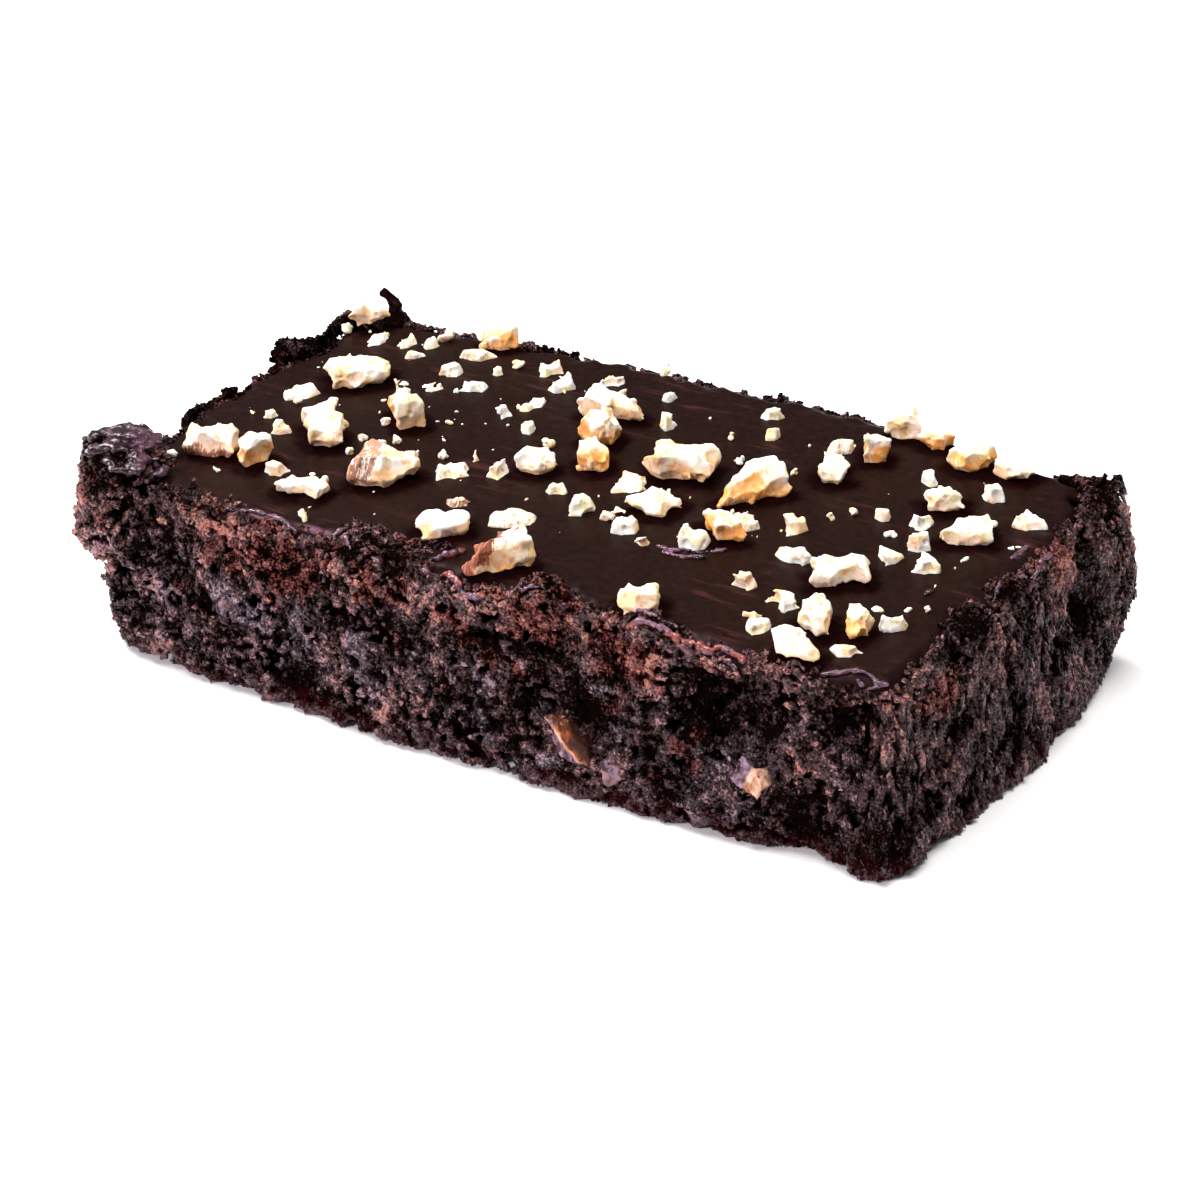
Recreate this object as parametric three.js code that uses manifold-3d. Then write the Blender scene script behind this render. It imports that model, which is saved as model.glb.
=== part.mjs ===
// A walnut brownie: one cut slab of dark chocolate crumb under a poured chocolate icing,
// with chopped walnuts on the icing and a few pieces baked into the crumb.
// Millimetres, +Z up. The origin is the middle of the flat underside and +X runs along the slab.
// The front is the long side at -Y.
import * as THREE from "three";
import { ImprovedNoise } from "three/addons/math/ImprovedNoise.js";
import { mergeVertices } from "three/addons/utils/BufferGeometryUtils.js";
import Module from "manifold-3d";

// Driving dimensions
const LENGTH = 120;
const WIDTH = 60;
const ICING_TOP = 25.4;
const ICING_THICKNESS = 1.9;
const CORNER_RADIUS = 2.5;
const LEAST_RADIUS = 0.4;
// How far the middles of the right, back, left and front sides bow outwards, and more of it at the foot.
const BOWS = [0.8, 4.8, 1, 0.8];
const FOOT_FLARE = 3;

// The crumb
const UNDERSIDE_INSET = 1;
const FLAT_INSET = 5;
const RIM_TOP = ICING_TOP - 0.4;
const RIM_BEND = 2;
const CRUMB_COLUMNS = 130;
const SIDE_ROWS = 10;
const SIDE_FOOT = 2;
// Rows of the crumb below its side and over its rim. Crags push outwards at lean 0 and upwards at lean 1,
// and rough is the share of them that a row takes.
const FOOT_ROWS = [
  { inset: FLAT_INSET, z: 0, lean: 0, rough: 0 },
  { inset: UNDERSIDE_INSET, z: 0, lean: 0, rough: 0.6 },
  { inset: UNDERSIDE_INSET / 3, z: 0.7, lean: 0, rough: 0.8 },
];
const RIM_ROWS = [
  { inset: 0.4, z: RIM_TOP - 0.4, lean: 0.5, rough: 1 },
  { inset: 1.8, z: RIM_TOP, lean: 1, rough: 0.9 },
  { inset: 3.8, z: RIM_TOP, lean: 1, rough: 0.8 },
  { inset: 6.5, z: RIM_TOP, lean: 1, rough: 0.6 },
  { inset: 9.5, z: RIM_TOP, lean: 1, rough: 0 },
];
const CRAGS = [
  { size: 12, rise: 1.3, shift: 0 },
  { size: 5.5, rise: 1.1, shift: 7 },
  { size: 3, rise: 0.8, shift: 14 },
];

// The icing
const ICING_COLUMNS = 110;
const ICING_INSET = 1;
const ICING_UNDER = ICING_TOP - ICING_THICKNESS;
const WAVE = { size: 9, rise: 1.1, shift: 3 };
const RIPPLE = { size: 3.5, rise: 0.5, shift: 11 };
const DROOP_START = 0.6;
const MOST_DROOP = 1.6;
// Rows of the icing from its underside round its lip to its top: how far each lies in from the edge, its
// height, and the share of the edge's droop that it takes.
const ICING_ROWS = [
  { drawnIn: 3.2, z: ICING_UNDER, sag: 0 },
  { drawnIn: 0.6, z: ICING_UNDER, sag: 0.9 },
  { drawnIn: 0, z: ICING_UNDER + 0.6, sag: 1 },
  { drawnIn: 0.3, z: ICING_TOP - 0.5, sag: 0.9 },
  { drawnIn: 1.3, z: ICING_TOP - 0.1, sag: 0.35 },
  { drawnIn: 3, z: ICING_TOP, sag: 0 },
];
const POCKET_GAP = 0.3;
const ROOM_ABOVE = 12;

// The walnuts. A chopped piece is lofted from one of these outlines, seen from above with shares of its half-sides
// as numbers. It is higher towards -X by its slope.
const NUT_FORMS = {
  block: { slope: 0.1, corners: [[-1, -0.7], [-0.3, -1], [0.8, -0.9], [1, 0.5], [0.2, 1], [-0.8, 0.8]] },
  wedge: { slope: 0.3, corners: [[-1, -0.8], [-0.1, -1], [1, -0.2], [0.9, 0.3], [0, 0.7], [-0.8, 1]] },
  leaf: { slope: 0, corners: [[-1, -0.1], [-0.4, -0.8], [0.4, -1], [1, 0.2], [0.3, 1], [-0.5, 0.7]] },
  shield: { slope: 0.1, corners: [[-1, 0.3], [-0.7, -0.8], [0.2, -1], [1, -0.3], [0.7, 0.8], [-0.3, 1]] },
  notch: {
    slope: 0.1,
    corners: [[-1, -0.4], [-0.3, -1], [0.7, -0.8], [1, 0.4], [0.6, 1], [0.15, 0.45], [-0.35, 0.5], [-0.9, 0.85]],
  },
  star: {
    slope: 0,
    corners: [
      [-1, -0.4], [-0.5, -0.8], [0.1, -0.7], [0.7, -1], [0.8, -0.3], [1, 0.5], [0.5, 0.7], [0.2, 1], [-0.3, 0.7],
      [-0.8, 1], [-0.75, 0.2],
    ],
  },
};
// Rows of a piece from its foot to its top: the share of the outline that a row keeps, and its height.
const NUT_ROWS = [
  { keep: 0.8, z: 0 },
  { keep: 1, z: 0.35 },
  { keep: 0.92, z: 0.8 },
  { keep: 0.6, z: 1 },
];
const CHIP_ROWS = [
  { keep: 1, z: 0 },
  { keep: 0.7, z: 1 },
];
const REST_GAP = 0.2;
const NUT_BUMPS = { size: 0.7, rise: 0.32 };
const NUT_TILT = 0.2;
const NUT_STEPS = 2;
const BAKED_SEED = 64;
const CHIP_SEED = 100;
const CHIP_SINK = 0.3;
const CHIP_DEPTH = [0.5, 0.85];

// Lumps where the torn crumb stands proud (push above 0) and hollows (push below 0).
const LUMPS = [
  { at: [-58, -25.5, 26], reach: 6, push: 5.4 },
  { at: [-60, -25, 17], reach: 6, push: 4.6 },
  { at: [-60, -29, 18], reach: 3, push: 1.4 },
  { at: [-60, -28, 5], reach: 5, push: 2.4 },
  { at: [-53, -30, 1], reach: 4, push: 0.9 },
  { at: [-16, -29, 26], reach: 5.5, push: 2.4 },
  { at: [11, -29, 26], reach: 3.4, push: 4.4 },
  { at: [27, -29, 25], reach: 4.5, push: 1.4 },
  { at: [30, -31, 2], reach: 9, push: 1 },
  { at: [41, -31, 0], reach: 5, push: 1.4 },
  { at: [57.5, -29.5, 1], reach: 5, push: 2.6 },
  { at: [60, -11, 26], reach: 4, push: 2.6 },
  { at: [60, 0, 26], reach: 3.5, push: 1.6 },
  { at: [60, 29, 26], reach: 4.5, push: 2.2 },
  { at: [60, 30, 14], reach: 7, push: 4.3 },
  { at: [60, 24, 20], reach: 5, push: 1.4 },
  { at: [-60, 14, 26], reach: 3, push: 4.4 },
  { at: [-58, 3.2, 26], reach: 1.8, push: 2 },
  { at: [-59, -2.4, 26], reach: 1.5, push: 1.4 },
  { at: [-59, -7, 26], reach: 2, push: 2.2 },
  { at: [-60, -14, 26], reach: 3.5, push: -1 },
  { at: [-60, 7.6, 26], reach: 2, push: -1 },
  { at: [-60, 27, 26], reach: 6, push: 2.6 },
  { at: [-27, 30, 26], reach: 3.5, push: 2.2 },
  { at: [-16, 32, 26], reach: 3, push: 1.4 },
  { at: [8, 33, 26], reach: 3, push: 1.6 },
  { at: [19, 33, 26], reach: 8, push: 1 },
  { at: [36.5, -30, 17], reach: 5.5, push: -5 },
  { at: [54, -30, 20], reach: 4.5, push: -3.2 },
  { at: [13, -30, 19], reach: 4.5, push: -3.2 },
  { at: [18, -30, 11], reach: 3.5, push: -3 },
  { at: [-47, -30, 13], reach: 3, push: -1.8 },
  { at: [-26, -30, 4], reach: 4, push: -2 },
  { at: [47.5, -30, 0], reach: 3, push: -2.2 },
  { at: [60, -15, 14], reach: 3.5, push: -2.4 },
  { at: [60, -25, 13], reach: 3.5, push: -2.2 },
  { at: [60, 18, 14], reach: 4, push: -2.4 },
  { at: [60, -2, 7], reach: 3, push: -2 },
  { at: [-60, 12, 12], reach: 5, push: -2.6 },
  { at: [-60, -8, 8], reach: 4, push: -2.2 },
  { at: [-38, 30, 15], reach: 5, push: -3 },
  { at: [20, 32, 9], reach: 5, push: -2.6 },
  { at: [42, 31, 18], reach: 4, push: -2.4 },
];

// A dark curl of crust that stands up at the back left corner: its middle line and its radii.
const CURL = {
  line: [[-54.4, 30.4, 23.6], [-54.6, 31.2, 27.6], [-57, 31.6, 28.8]],
  radii: [1.5, 1.1, 0.95, 0.85, 0.5],
  sides: 6,
};

// Where the icing's edge draws back from the slab's side (draw above 0) or runs over it (below 0).
const ICING_EDGE = [
  { at: [-60, -28], reach: 7, draw: 4.8 },
  { at: [-16, -30], reach: 6, draw: 4.6 },
  { at: [11, -30], reach: 3.6, draw: 3.8 },
  { at: [27, -30], reach: 5, draw: 1.4 },
  { at: [60, -11], reach: 4, draw: 2 },
  { at: [60, 0], reach: 4, draw: 1.4 },
  { at: [60, 29], reach: 5, draw: 3.2 },
  { at: [-60, 17], reach: 3.6, draw: 1.4 },
  { at: [-60, 5], reach: 5, draw: -0.6 },
  { at: [-60, -7], reach: 7, draw: -0.7 },
  { at: [-60, 30], reach: 5, draw: 2.6 },
  { at: [4.5, -30], reach: 3.4, draw: -2.8 },
  { at: [-6, -30], reach: 4, draw: -1.6 },
  { at: [38, -30], reach: 6, draw: -2.4 },
  { at: [53, -30], reach: 4, draw: -2.2 },
  { at: [-27, 30], reach: 4, draw: 1 },
  { at: [30, 32], reach: 16, draw: -1 },
];

// The walnut pieces on the icing: place, then length, depth and height, and the turn of the length in degrees.
const TOP_WALNUTS = [
  { form: "block", x: -46.2, y: 10.6, size: [9, 5.5, 3.8], turn: 46 },
  { form: "block", x: -39.9, y: -6.2, size: [9.4, 5.6, 4.4], turn: -40 },
  { form: "block", x: -50.6, y: -17, size: [7.4, 4.2, 4], turn: 20 },
  { form: "notch", x: -43.4, y: -17, size: [5.3, 4.6, 4], turn: 240 },
  { form: "wedge", x: -33.1, y: 2.9, size: [7.2, 5, 4.8], turn: 150 },
  { form: "wedge", x: -25.4, y: -12.6, size: [9.6, 7, 4.7], turn: 34 },
  { form: "notch", x: -32.6, y: -21.2, size: [6.6, 4.8, 1.9], turn: 190 },
  { form: "block", x: -9.8, y: -21.8, size: [7, 5, 2.6], turn: 50 },
  { form: "wedge", x: 2.2, y: -26.2, size: [10, 5, 4.6], turn: 244 },
  { form: "notch", x: 23.2, y: -26.8, size: [5.6, 4.6, 3.4], turn: 38 },
  { form: "block", x: -9.2, y: -1, size: [5, 4.4, 3], turn: 20 },
  { form: "wedge", x: -8.8, y: 17.4, size: [9.2, 4, 4], turn: 8 },
  { form: "shield", x: -6.2, y: 10.2, size: [5.6, 4.8, 4.2], turn: 50 },
  { form: "shield", x: -3, y: 3.4, size: [5.6, 4.4, 3.8], turn: -50 },
  { form: "star", x: 8.4, y: 6.9, size: [10.2, 7.4, 5], turn: 28 },
  { form: "leaf", x: 10.6, y: -3.4, size: [7.8, 5.6, 2.2], turn: 30 },
  { form: "wedge", x: 20.2, y: 5.4, size: [10.4, 5, 4.2], turn: 240 },
  { form: "wedge", x: 21.8, y: -5.6, size: [7.6, 3.4, 3.4], turn: 150 },
  { form: "wedge", x: 28.4, y: 23, size: [5, 4, 4], turn: 130 },
  { form: "notch", x: 26.4, y: 15.4, size: [5.2, 4.2, 3], turn: -56 },
  { form: "block", x: 28.9, y: 30.2, size: [5.3, 2.1, 3.9], turn: 34 },
  { form: "shield", x: 34, y: 30, size: [4.3, 3.6, 2.2], turn: 40 },
  { form: "shield", x: 40.9, y: 26.6, size: [6.3, 4.8, 3.7], turn: 46 },
  { form: "leaf", x: 46.9, y: 26.6, size: [6, 3.9, 2.2], turn: 20 },
  { form: "shield", x: 42.9, y: 14.6, size: [5.6, 4.8, 2.8], turn: 16 },
  { form: "wedge", x: 50, y: 7.8, size: [7, 5, 2.8], turn: 222 },
  { form: "star", x: 41.2, y: -9.2, size: [8.4, 5.3, 3.4], turn: 46 },
  { form: "wedge", x: 44.8, y: -21.4, size: [5.6, 4.5, 4], turn: -50 },
  { form: "wedge", x: 49.6, y: -20.2, size: [4, 3.2, 3.4], turn: -76 },
  { form: "wedge", x: 46.2, y: -27.6, size: [5.8, 4.4, 3.3], turn: -8 },
  { form: "shield", x: -35.5, y: 29.6, size: [5.2, 4.2, 3.2], turn: 24 },
  { form: "wedge", x: -56, y: 26.8, size: [5.4, 4.2, 3.4], turn: 30, lift: 1 },
];

// The walnut pieces that show in the sides, half sunk in the crumb, and their tilt in the side's plane.
const BAKED_WALNUTS = [
  { form: "leaf", at: [14.9, -31.6, 7.2], size: [9.6, 4.4, 3.8], tilt: -42 },
  { form: "shield", at: [22.2, -31.8, 5.2], size: [4, 3.4, 4.6], tilt: 10 },
  { form: "block", at: [41.2, -31, 9], size: [5.4, 4.4, 4], tilt: -24 },
  { form: "leaf", at: [-38.8, -31.2, 12.4], size: [5.2, 3.4, 2.6], tilt: -30 },
];

// The smaller chips, fused to the icing: [x, y, length, height], and the turn in degrees where it counts.
const CHIPS = [
  [-52.4, 23.4, 5, 0.9, 69], [-47.8, 24.2, 3.2, 1.4], [-44.4, 25.2, 2.7, 1.2], [-44.4, 21.6, 3, 0.7],
  [-51, 3.6, 6, 1.1, 50], [-50.6, -4.2, 2.7, 1], [-46.4, -7.4, 2.8, 1.5], [-39.6, -17.6, 3.8, 1.3, 20],
  [-39.4, 10.8, 2.6, 2, -30], [-36.6, 18.8, 3.6, 1.5, 34], [-36, 13.6, 3.4, 1.4, 34], [-31, 16.2, 4.2, 1.2, 30],
  [-30.5, 21.8, 2.6, 1.1], [-24.6, 25.8, 4.2, 1.4, 57], [-20.2, 22, 3.7, 1.9, 70], [-14.7, 26.6, 3.4, 1.5],
  [-11.6, 23.6, 2.6, 1.2], [-5.2, 26.4, 2.8, 1], [-0.9, 18.6, 3.2, 2.2, 110], [-22.8, 10.6, 3.1, 1.5, 20],
  [-20.6, 15.4, 4.6, 0.8, 80], [-17, 8.8, 3.1, 1.3], [-18.8, -2.4, 3.6, 0.9, 60], [-18.6, -7, 5.4, 1.1, 53],
  [-13.4, -4.4, 3.4, 1.9, 91], [-12.8, -13.8, 3.8, 0.9, 34], [-4, -14.6, 6.6, 1, 34], [-3.4, -5.2, 2.8, 1.2],
  [2.4, -8, 4.1, 2.1, 240], [10.2, -10, 3.6, 1.9, 30], [14.2, -12.6, 2.7, 1.2], [3.9, 1.2, 6.4, 1.2, 68],
  [6.6, -7.5, 4, 0.8, 95], [20.4, -9.4, 4.2, 2.7, 34], [23, -1.8, 4.5, 1.3, 17], [10.2, 27.4, 3.1, 1.4],
  [13.2, 22.4, 2.9, 1.5], [29.3, 0.2, 3.5, 2.1], [33, -6.6, 4.8, 1.9, 170], [37.3, 8.6, 2.4, 1.2],
  [38.2, 20, 2.4, 1.6], [47.2, 19.8, 3.5, 2], [55, 15.6, 4.6, 1.5, 10], [43, 9, 2.9, 2], [43.8, -1, 3.7, 1.5, 50],
  [45.3, 3.4, 3.1, 2.2], [49.2, -1.2, 3.4, 1.8, 10], [31.2, -15, 3.6, 1.8, 92], [38, -17.6, 4.4, 1.9, -18],
  [35.8, -20.8, 3.8, 1.1], [38.2, -24.6, 3.6, 1.3], [52.6, -16.2, 3.8, 1.9, 40], [50.4, -24, 3.8, 0.8, 58],
  [23, 22.8, 4.2, 1.6, 50], [-36.2, 25.4, 5.6, 1.2, 24],
];

const COLOURS = {
  crumb: { color: 0x2e1a17, roughness: 0.8 },
  icing: { color: 0x2f1d19, roughness: 0.22 },
  walnut: { color: 0xeadbb4, roughness: 0.6 },
  baked_walnut: { color: 0x9a7866, roughness: 0.6 },
};

const UP = new THREE.Vector3(0, 0, 1);
// Large unlike numbers that scatter the results of draw, and offsets that part one noise from another.
const SCATTER = [127.1, 311.7, 43758.5453];
const NOISE_OFFSET = [2.3, 5.1];
const perlin = new ImprovedNoise();
const wasm = await Module();
wasm.setup();

// Smooth noise about 0 for a point, with bumps about size across.
function noise(p, size, shift = 0) {
  return perlin.noise(p.x / size + shift, p.y / size + NOISE_OFFSET[0] * shift, p.z / size + NOISE_OFFSET[1]);
}

// A bell of height 1 that falls to nothing at about twice its reach.
function bell(distance, reach) {
  return Math.exp(-((distance / reach) ** 2));
}

// A share from 0 to 1 that is the same for the same two numbers.
function draw(a, b) {
  const s = Math.sin(a * SCATTER[0] + b * SCATTER[1]) * SCATTER[2];
  return s - Math.floor(s);
}

// A number between two limits, the same for the same two numbers.
function drawBetween([low, high], a, b) {
  return THREE.MathUtils.lerp(low, high, draw(a, b));
}

// A point on the slab's outline and its outward normal. turn runs from 0 to 1, anticlockwise from the
// right side's front end. Drawn in by inset, each straight side and corner arc keeps its share of the turn.
function outline(turn, inset) {
  const radius = Math.max(CORNER_RADIUS - inset, LEAST_RADIUS);
  const cx = LENGTH / 2 - inset - radius;
  const cy = WIDTH / 2 - inset - radius;
  const centres = [[cx, -cy], [cx, cy], [-cx, cy], [-cx, -cy]];
  const arc = (CORNER_RADIUS * Math.PI) / 2;
  const sides = [WIDTH, LENGTH, WIDTH, LENGTH].map((side) => side - 2 * CORNER_RADIUS);
  let along = turn * sides.reduce((sum, side) => sum + side + arc, 0);
  let k = 0;
  while (k < 3 && along > sides[k] + arc) along -= sides[k++] + arc;
  const share = Math.min(along / sides[k], 1);
  const angle = (k * Math.PI) / 2 + (Math.max(along - sides[k], 0) / arc) * (Math.PI / 2);
  const normal = new THREE.Vector3(Math.cos(angle), Math.sin(angle), 0);
  const [from, to] = [centres[k], centres[(k + 1) % 4]];
  const point = new THREE.Vector3(from[0] + (to[0] - from[0]) * share, from[1] + (to[1] - from[1]) * share, 0);
  return { point: point.addScaledVector(normal, radius + BOWS[k] * (1 - (2 * share - 1) ** 2)), normal };
}

// A closed surface through rings of equally many points, with a fan over the first and the last.
function loft(rings) {
  const count = rings[0].length;
  const points = rings.flat();
  const indices = [];
  rings.slice(1).forEach((ring, r) => {
    for (let i = 0; i < count; i++) {
      const [a, b] = [r * count + i, r * count + ((i + 1) % count)];
      indices.push(a, b, b + count, a, b + count, a + count);
    }
  });
  for (const [ring, flip] of [[0, true], [rings.length - 1, false]]) {
    const middle = rings[ring].reduce((sum, p) => sum.add(p), new THREE.Vector3()).divideScalar(count);
    const hub = points.push(middle) - 1;
    for (let i = 0; i < count; i++) {
      const [a, b] = [ring * count + i, ring * count + ((i + 1) % count)];
      indices.push(...(flip ? [b, a, hub] : [a, b, hub]));
    }
  }
  return new THREE.BufferGeometry().setFromPoints(points).setIndex(indices);
}

function solid(geometry) {
  const plain = geometry.clone();
  plain.deleteAttribute("normal");
  plain.deleteAttribute("uv");
  const merged = mergeVertices(plain, 1e-4);
  return new wasm.Manifold(
    new wasm.Mesh({
      numProp: 3,
      vertProperties: new Float32Array(merged.attributes.position.array),
      triVerts: new Uint32Array(merged.index.array),
    }),
  );
}

function geometryOf(manifold) {
  const { numProp, vertProperties, triVerts } = manifold.getMesh();
  const positions = new Float32Array((vertProperties.length / numProp) * 3);
  for (let i = 0; i < positions.length / 3; i++) {
    positions.set(vertProperties.subarray(i * numProp, i * numProp + 3), i * 3);
  }
  const geometry = new THREE.BufferGeometry().setAttribute("position", new THREE.BufferAttribute(positions, 3));
  geometry.setIndex(new THREE.BufferAttribute(new Uint32Array(triVerts), 1));
  geometry.computeVertexNormals();
  return geometry;
}

// How far the torn crumb stands out of the plain slab at a point.
function crag(p) {
  const rough = CRAGS.reduce((sum, { size, rise, shift }) => sum + rise * noise(p, size, shift), 0);
  const lumps = LUMPS.reduce((sum, { at, reach, push }) => {
    return sum + push * bell(p.distanceTo(new THREE.Vector3(...at)), reach);
  }, 0);
  return rough + lumps;
}

// How much the long sides and the ends bow out towards the foot, most at their middles.
function flare(p, normal) {
  const across = Math.abs(normal.y) * (1 - (2 * p.x / LENGTH) ** 2) + Math.abs(normal.x) * (1 - (2 * p.y / WIDTH) ** 2);
  return FOOT_FLARE * across * (1 - p.z / RIM_TOP);
}

function crumbRing({ inset, z, lean, rough }) {
  return Array.from({ length: CRUMB_COLUMNS }, (_, i) => {
    const { point, normal } = outline(i / CRUMB_COLUMNS, inset);
    point.z = z;
    const push = normal.clone().multiplyScalar(1 - lean).addScaledVector(UP, lean).normalize();
    const out = rough * crag(point);
    const bow = flare(point, normal) * (1 - lean);
    return point.addScaledVector(push, out).addScaledVector(normal, bow);
  });
}

// The whole slab of crumb before the icing and the baked walnuts are cut out of it.
function crumbSlab() {
  const side = Array.from({ length: SIDE_ROWS }, (_, i) => {
    const z = THREE.MathUtils.lerp(SIDE_FOOT, RIM_TOP - RIM_BEND, i / (SIDE_ROWS - 1));
    return { inset: 0, z, lean: 0, rough: 1 };
  });
  return solid(loft([...FOOT_ROWS, ...side, ...RIM_ROWS].map(crumbRing))).add(curl());
}

function curl() {
  const line = new THREE.QuadraticBezierCurve3(...CURL.line.map((point) => new THREE.Vector3(...point)));
  const rings = CURL.radii.map((radius, r) => {
    const middle = line.getPoint(r / (CURL.radii.length - 1));
    return Array.from({ length: CURL.sides }, (_, i) => {
      const angle = (2 * Math.PI * i) / CURL.sides;
      return new THREE.Vector3(radius * Math.cos(angle), radius * Math.sin(angle), 0).add(middle);
    });
  });
  return solid(loft(rings));
}

// How far the icing's edge lies inside the slab's outline at a turn, and how far it droops.
function icingEdge(turn) {
  const { point } = outline(turn, 0);
  const waves = [WAVE, RIPPLE].reduce((sum, { size, rise, shift }) => sum + rise * noise(point, size, shift), 0);
  const drawn = ICING_EDGE.reduce((sum, { at, reach, draw: amount }) => {
    return sum + amount * bell(Math.hypot(point.x - at[0], point.y - at[1]), reach);
  }, 0);
  const inset = ICING_INSET + waves + drawn;
  return { inset, droop: THREE.MathUtils.clamp(DROOP_START - inset, 0, MOST_DROOP) };
}

// A body lofted through rings that follow the icing's edge.
function icingLoft(rows) {
  const rings = rows.map(({ drawnIn, z, sag }) =>
    Array.from({ length: ICING_COLUMNS }, (_, i) => {
      const edge = icingEdge(i / ICING_COLUMNS);
      const { point } = outline(i / ICING_COLUMNS, edge.inset + drawnIn);
      return point.setZ(z - sag * edge.droop);
    }),
  );
  return solid(loft(rings));
}

// The room that the icing takes out of the crumb, with a gap all round and open above.
function icingRoom() {
  const [middle, foot, lip] = ICING_ROWS;
  return icingLoft([
    { ...middle, z: middle.z - POCKET_GAP },
    { ...foot, drawnIn: foot.drawnIn - POCKET_GAP, z: foot.z - POCKET_GAP },
    { ...lip, drawnIn: lip.drawnIn - POCKET_GAP, z: lip.z - POCKET_GAP },
    { drawnIn: lip.drawnIn - 1.3 * POCKET_GAP, z: ICING_TOP + ROOM_ABOVE, sag: 0 },
  ]);
}

// A piece of nut of the given form through some rows, with so many steps along each side of its outline, roughened
// as chopping leaves it.
function choppedPiece(form, rows, steps, seed) {
  const { slope, corners } = NUT_FORMS[form];
  const [tiltX, tiltY] = [1, 2].map((k) => drawBetween([-NUT_TILT, NUT_TILT], seed, k));
  const outer = corners.map(([x, y]) => new THREE.Vector3(x, y, 0));
  const rings = rows.map(({ keep, z }) =>
    outer.flatMap((corner, c) =>
      Array.from({ length: steps }, (_, s) => {
        const p = corner.clone().lerp(outer[(c + 1) % outer.length], s / steps).multiplyScalar(keep);
        p.z = z * (1 + (tiltX - slope) * p.x + tiltY * p.y);
        return p.multiplyScalar(1 + NUT_BUMPS.rise * noise(p, NUT_BUMPS.size, seed));
      }),
    ),
  );
  return loft(rings);
}

// A geometry stretched to fill a box of the given size that stands on z = 0.
function fitted(geometry, size) {
  geometry.computeBoundingBox();
  const box = geometry.boundingBox.getSize(new THREE.Vector3());
  const middle = geometry.boundingBox.getCenter(new THREE.Vector3());
  geometry.translate(-middle.x, -middle.y, -geometry.boundingBox.min.z);
  return geometry.scale(size[0] / box.x, size[1] / box.y, size[2] / box.z);
}

function mesh(name, geometry, colour) {
  const made = new THREE.Mesh(geometry, new THREE.MeshStandardMaterial({ ...COLOURS[colour], metalness: 0 }));
  made.name = name;
  return made;
}

function topWalnut({ form, x, y, size, turn, lift = 0 }, i) {
  const geometry = fitted(choppedPiece(form, NUT_ROWS, NUT_STEPS, i + 1), size);
  geometry.computeVertexNormals();
  const made = mesh(`walnut_${String(i + 1).padStart(2, "0")}`, geometry, "walnut");
  made.position.set(x, y, ICING_TOP + REST_GAP + lift);
  made.rotation.z = THREE.MathUtils.degToRad(turn);
  return made;
}

// A baked walnut's geometry in place, grown by a margin all round.
function bakedWalnutGeometry({ form, at, size, tilt }, i, margin) {
  const piece = choppedPiece(form, NUT_ROWS, NUT_STEPS, BAKED_SEED + i);
  const geometry = fitted(piece, size.map((side) => side + 2 * margin));
  geometry.translate(0, 0, -size[2] / 2 - margin);
  geometry.rotateX(Math.PI / 2);
  geometry.rotateY(THREE.MathUtils.degToRad(-tilt));
  return geometry.translate(...at);
}

function chipSolid([x, y, length, height, turn], i) {
  const depth = length * drawBetween(CHIP_DEPTH, i, 5);
  const forms = Object.keys(NUT_FORMS);
  const form = forms[Math.floor(forms.length * draw(i, 6))];
  const piece = choppedPiece(form, CHIP_ROWS, 1, CHIP_SEED + i);
  const geometry = fitted(piece, [length, depth, height + CHIP_SINK]);
  geometry.rotateZ(THREE.MathUtils.degToRad(turn ?? 180 * draw(i, 9)));
  return solid(geometry.translate(x, y, ICING_TOP - CHIP_SINK));
}

function brownie() {
  const group = new THREE.Group();
  const rooms = BAKED_WALNUTS.map((nut, i) => solid(bakedWalnutGeometry(nut, i, POCKET_GAP)));
  const crumb = rooms.reduce((sum, room) => sum.subtract(room), crumbSlab().subtract(icingRoom()));
  const largest = crumb.decompose().sort((a, b) => b.volume() - a.volume())[0];
  const icing = CHIPS.map(chipSolid).reduce((sum, chip) => sum.add(chip), icingLoft(ICING_ROWS));
  group.add(mesh("crumb", geometryOf(largest), "crumb"));
  group.add(mesh("icing", geometryOf(icing), "icing"));
  group.add(...TOP_WALNUTS.map(topWalnut));
  BAKED_WALNUTS.forEach((nut, i) => {
    group.add(mesh(`baked_walnut_${i + 1}`, bakedWalnutGeometry(nut, i, 0), "baked_walnut"));
  });
  return group;
}

export default brownie();
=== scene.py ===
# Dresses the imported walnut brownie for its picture: torn crumb, poured icing and chopped walnuts.
# Shapes are made in millimetres from the CAD nodes' own meshes and turned into metres at the end.
import math

import bmesh
import bpy
import numpy as np
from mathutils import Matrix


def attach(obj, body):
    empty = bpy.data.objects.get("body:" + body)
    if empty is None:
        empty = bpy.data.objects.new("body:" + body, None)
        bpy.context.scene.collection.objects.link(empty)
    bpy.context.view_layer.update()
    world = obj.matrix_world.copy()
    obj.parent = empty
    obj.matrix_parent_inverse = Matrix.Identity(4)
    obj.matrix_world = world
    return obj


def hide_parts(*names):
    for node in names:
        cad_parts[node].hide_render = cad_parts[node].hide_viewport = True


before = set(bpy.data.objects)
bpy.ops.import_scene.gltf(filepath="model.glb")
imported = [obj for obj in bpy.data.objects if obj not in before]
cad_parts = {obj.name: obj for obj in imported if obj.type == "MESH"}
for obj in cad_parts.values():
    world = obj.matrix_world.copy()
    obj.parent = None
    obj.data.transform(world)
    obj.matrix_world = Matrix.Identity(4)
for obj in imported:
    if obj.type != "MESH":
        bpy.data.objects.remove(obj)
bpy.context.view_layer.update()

import openvdb
from mathutils import Matrix, Vector

MM = 0.001
ICING_TOP = 25.4
# About where the torn front side lies along Y.
FRONT = -31

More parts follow.
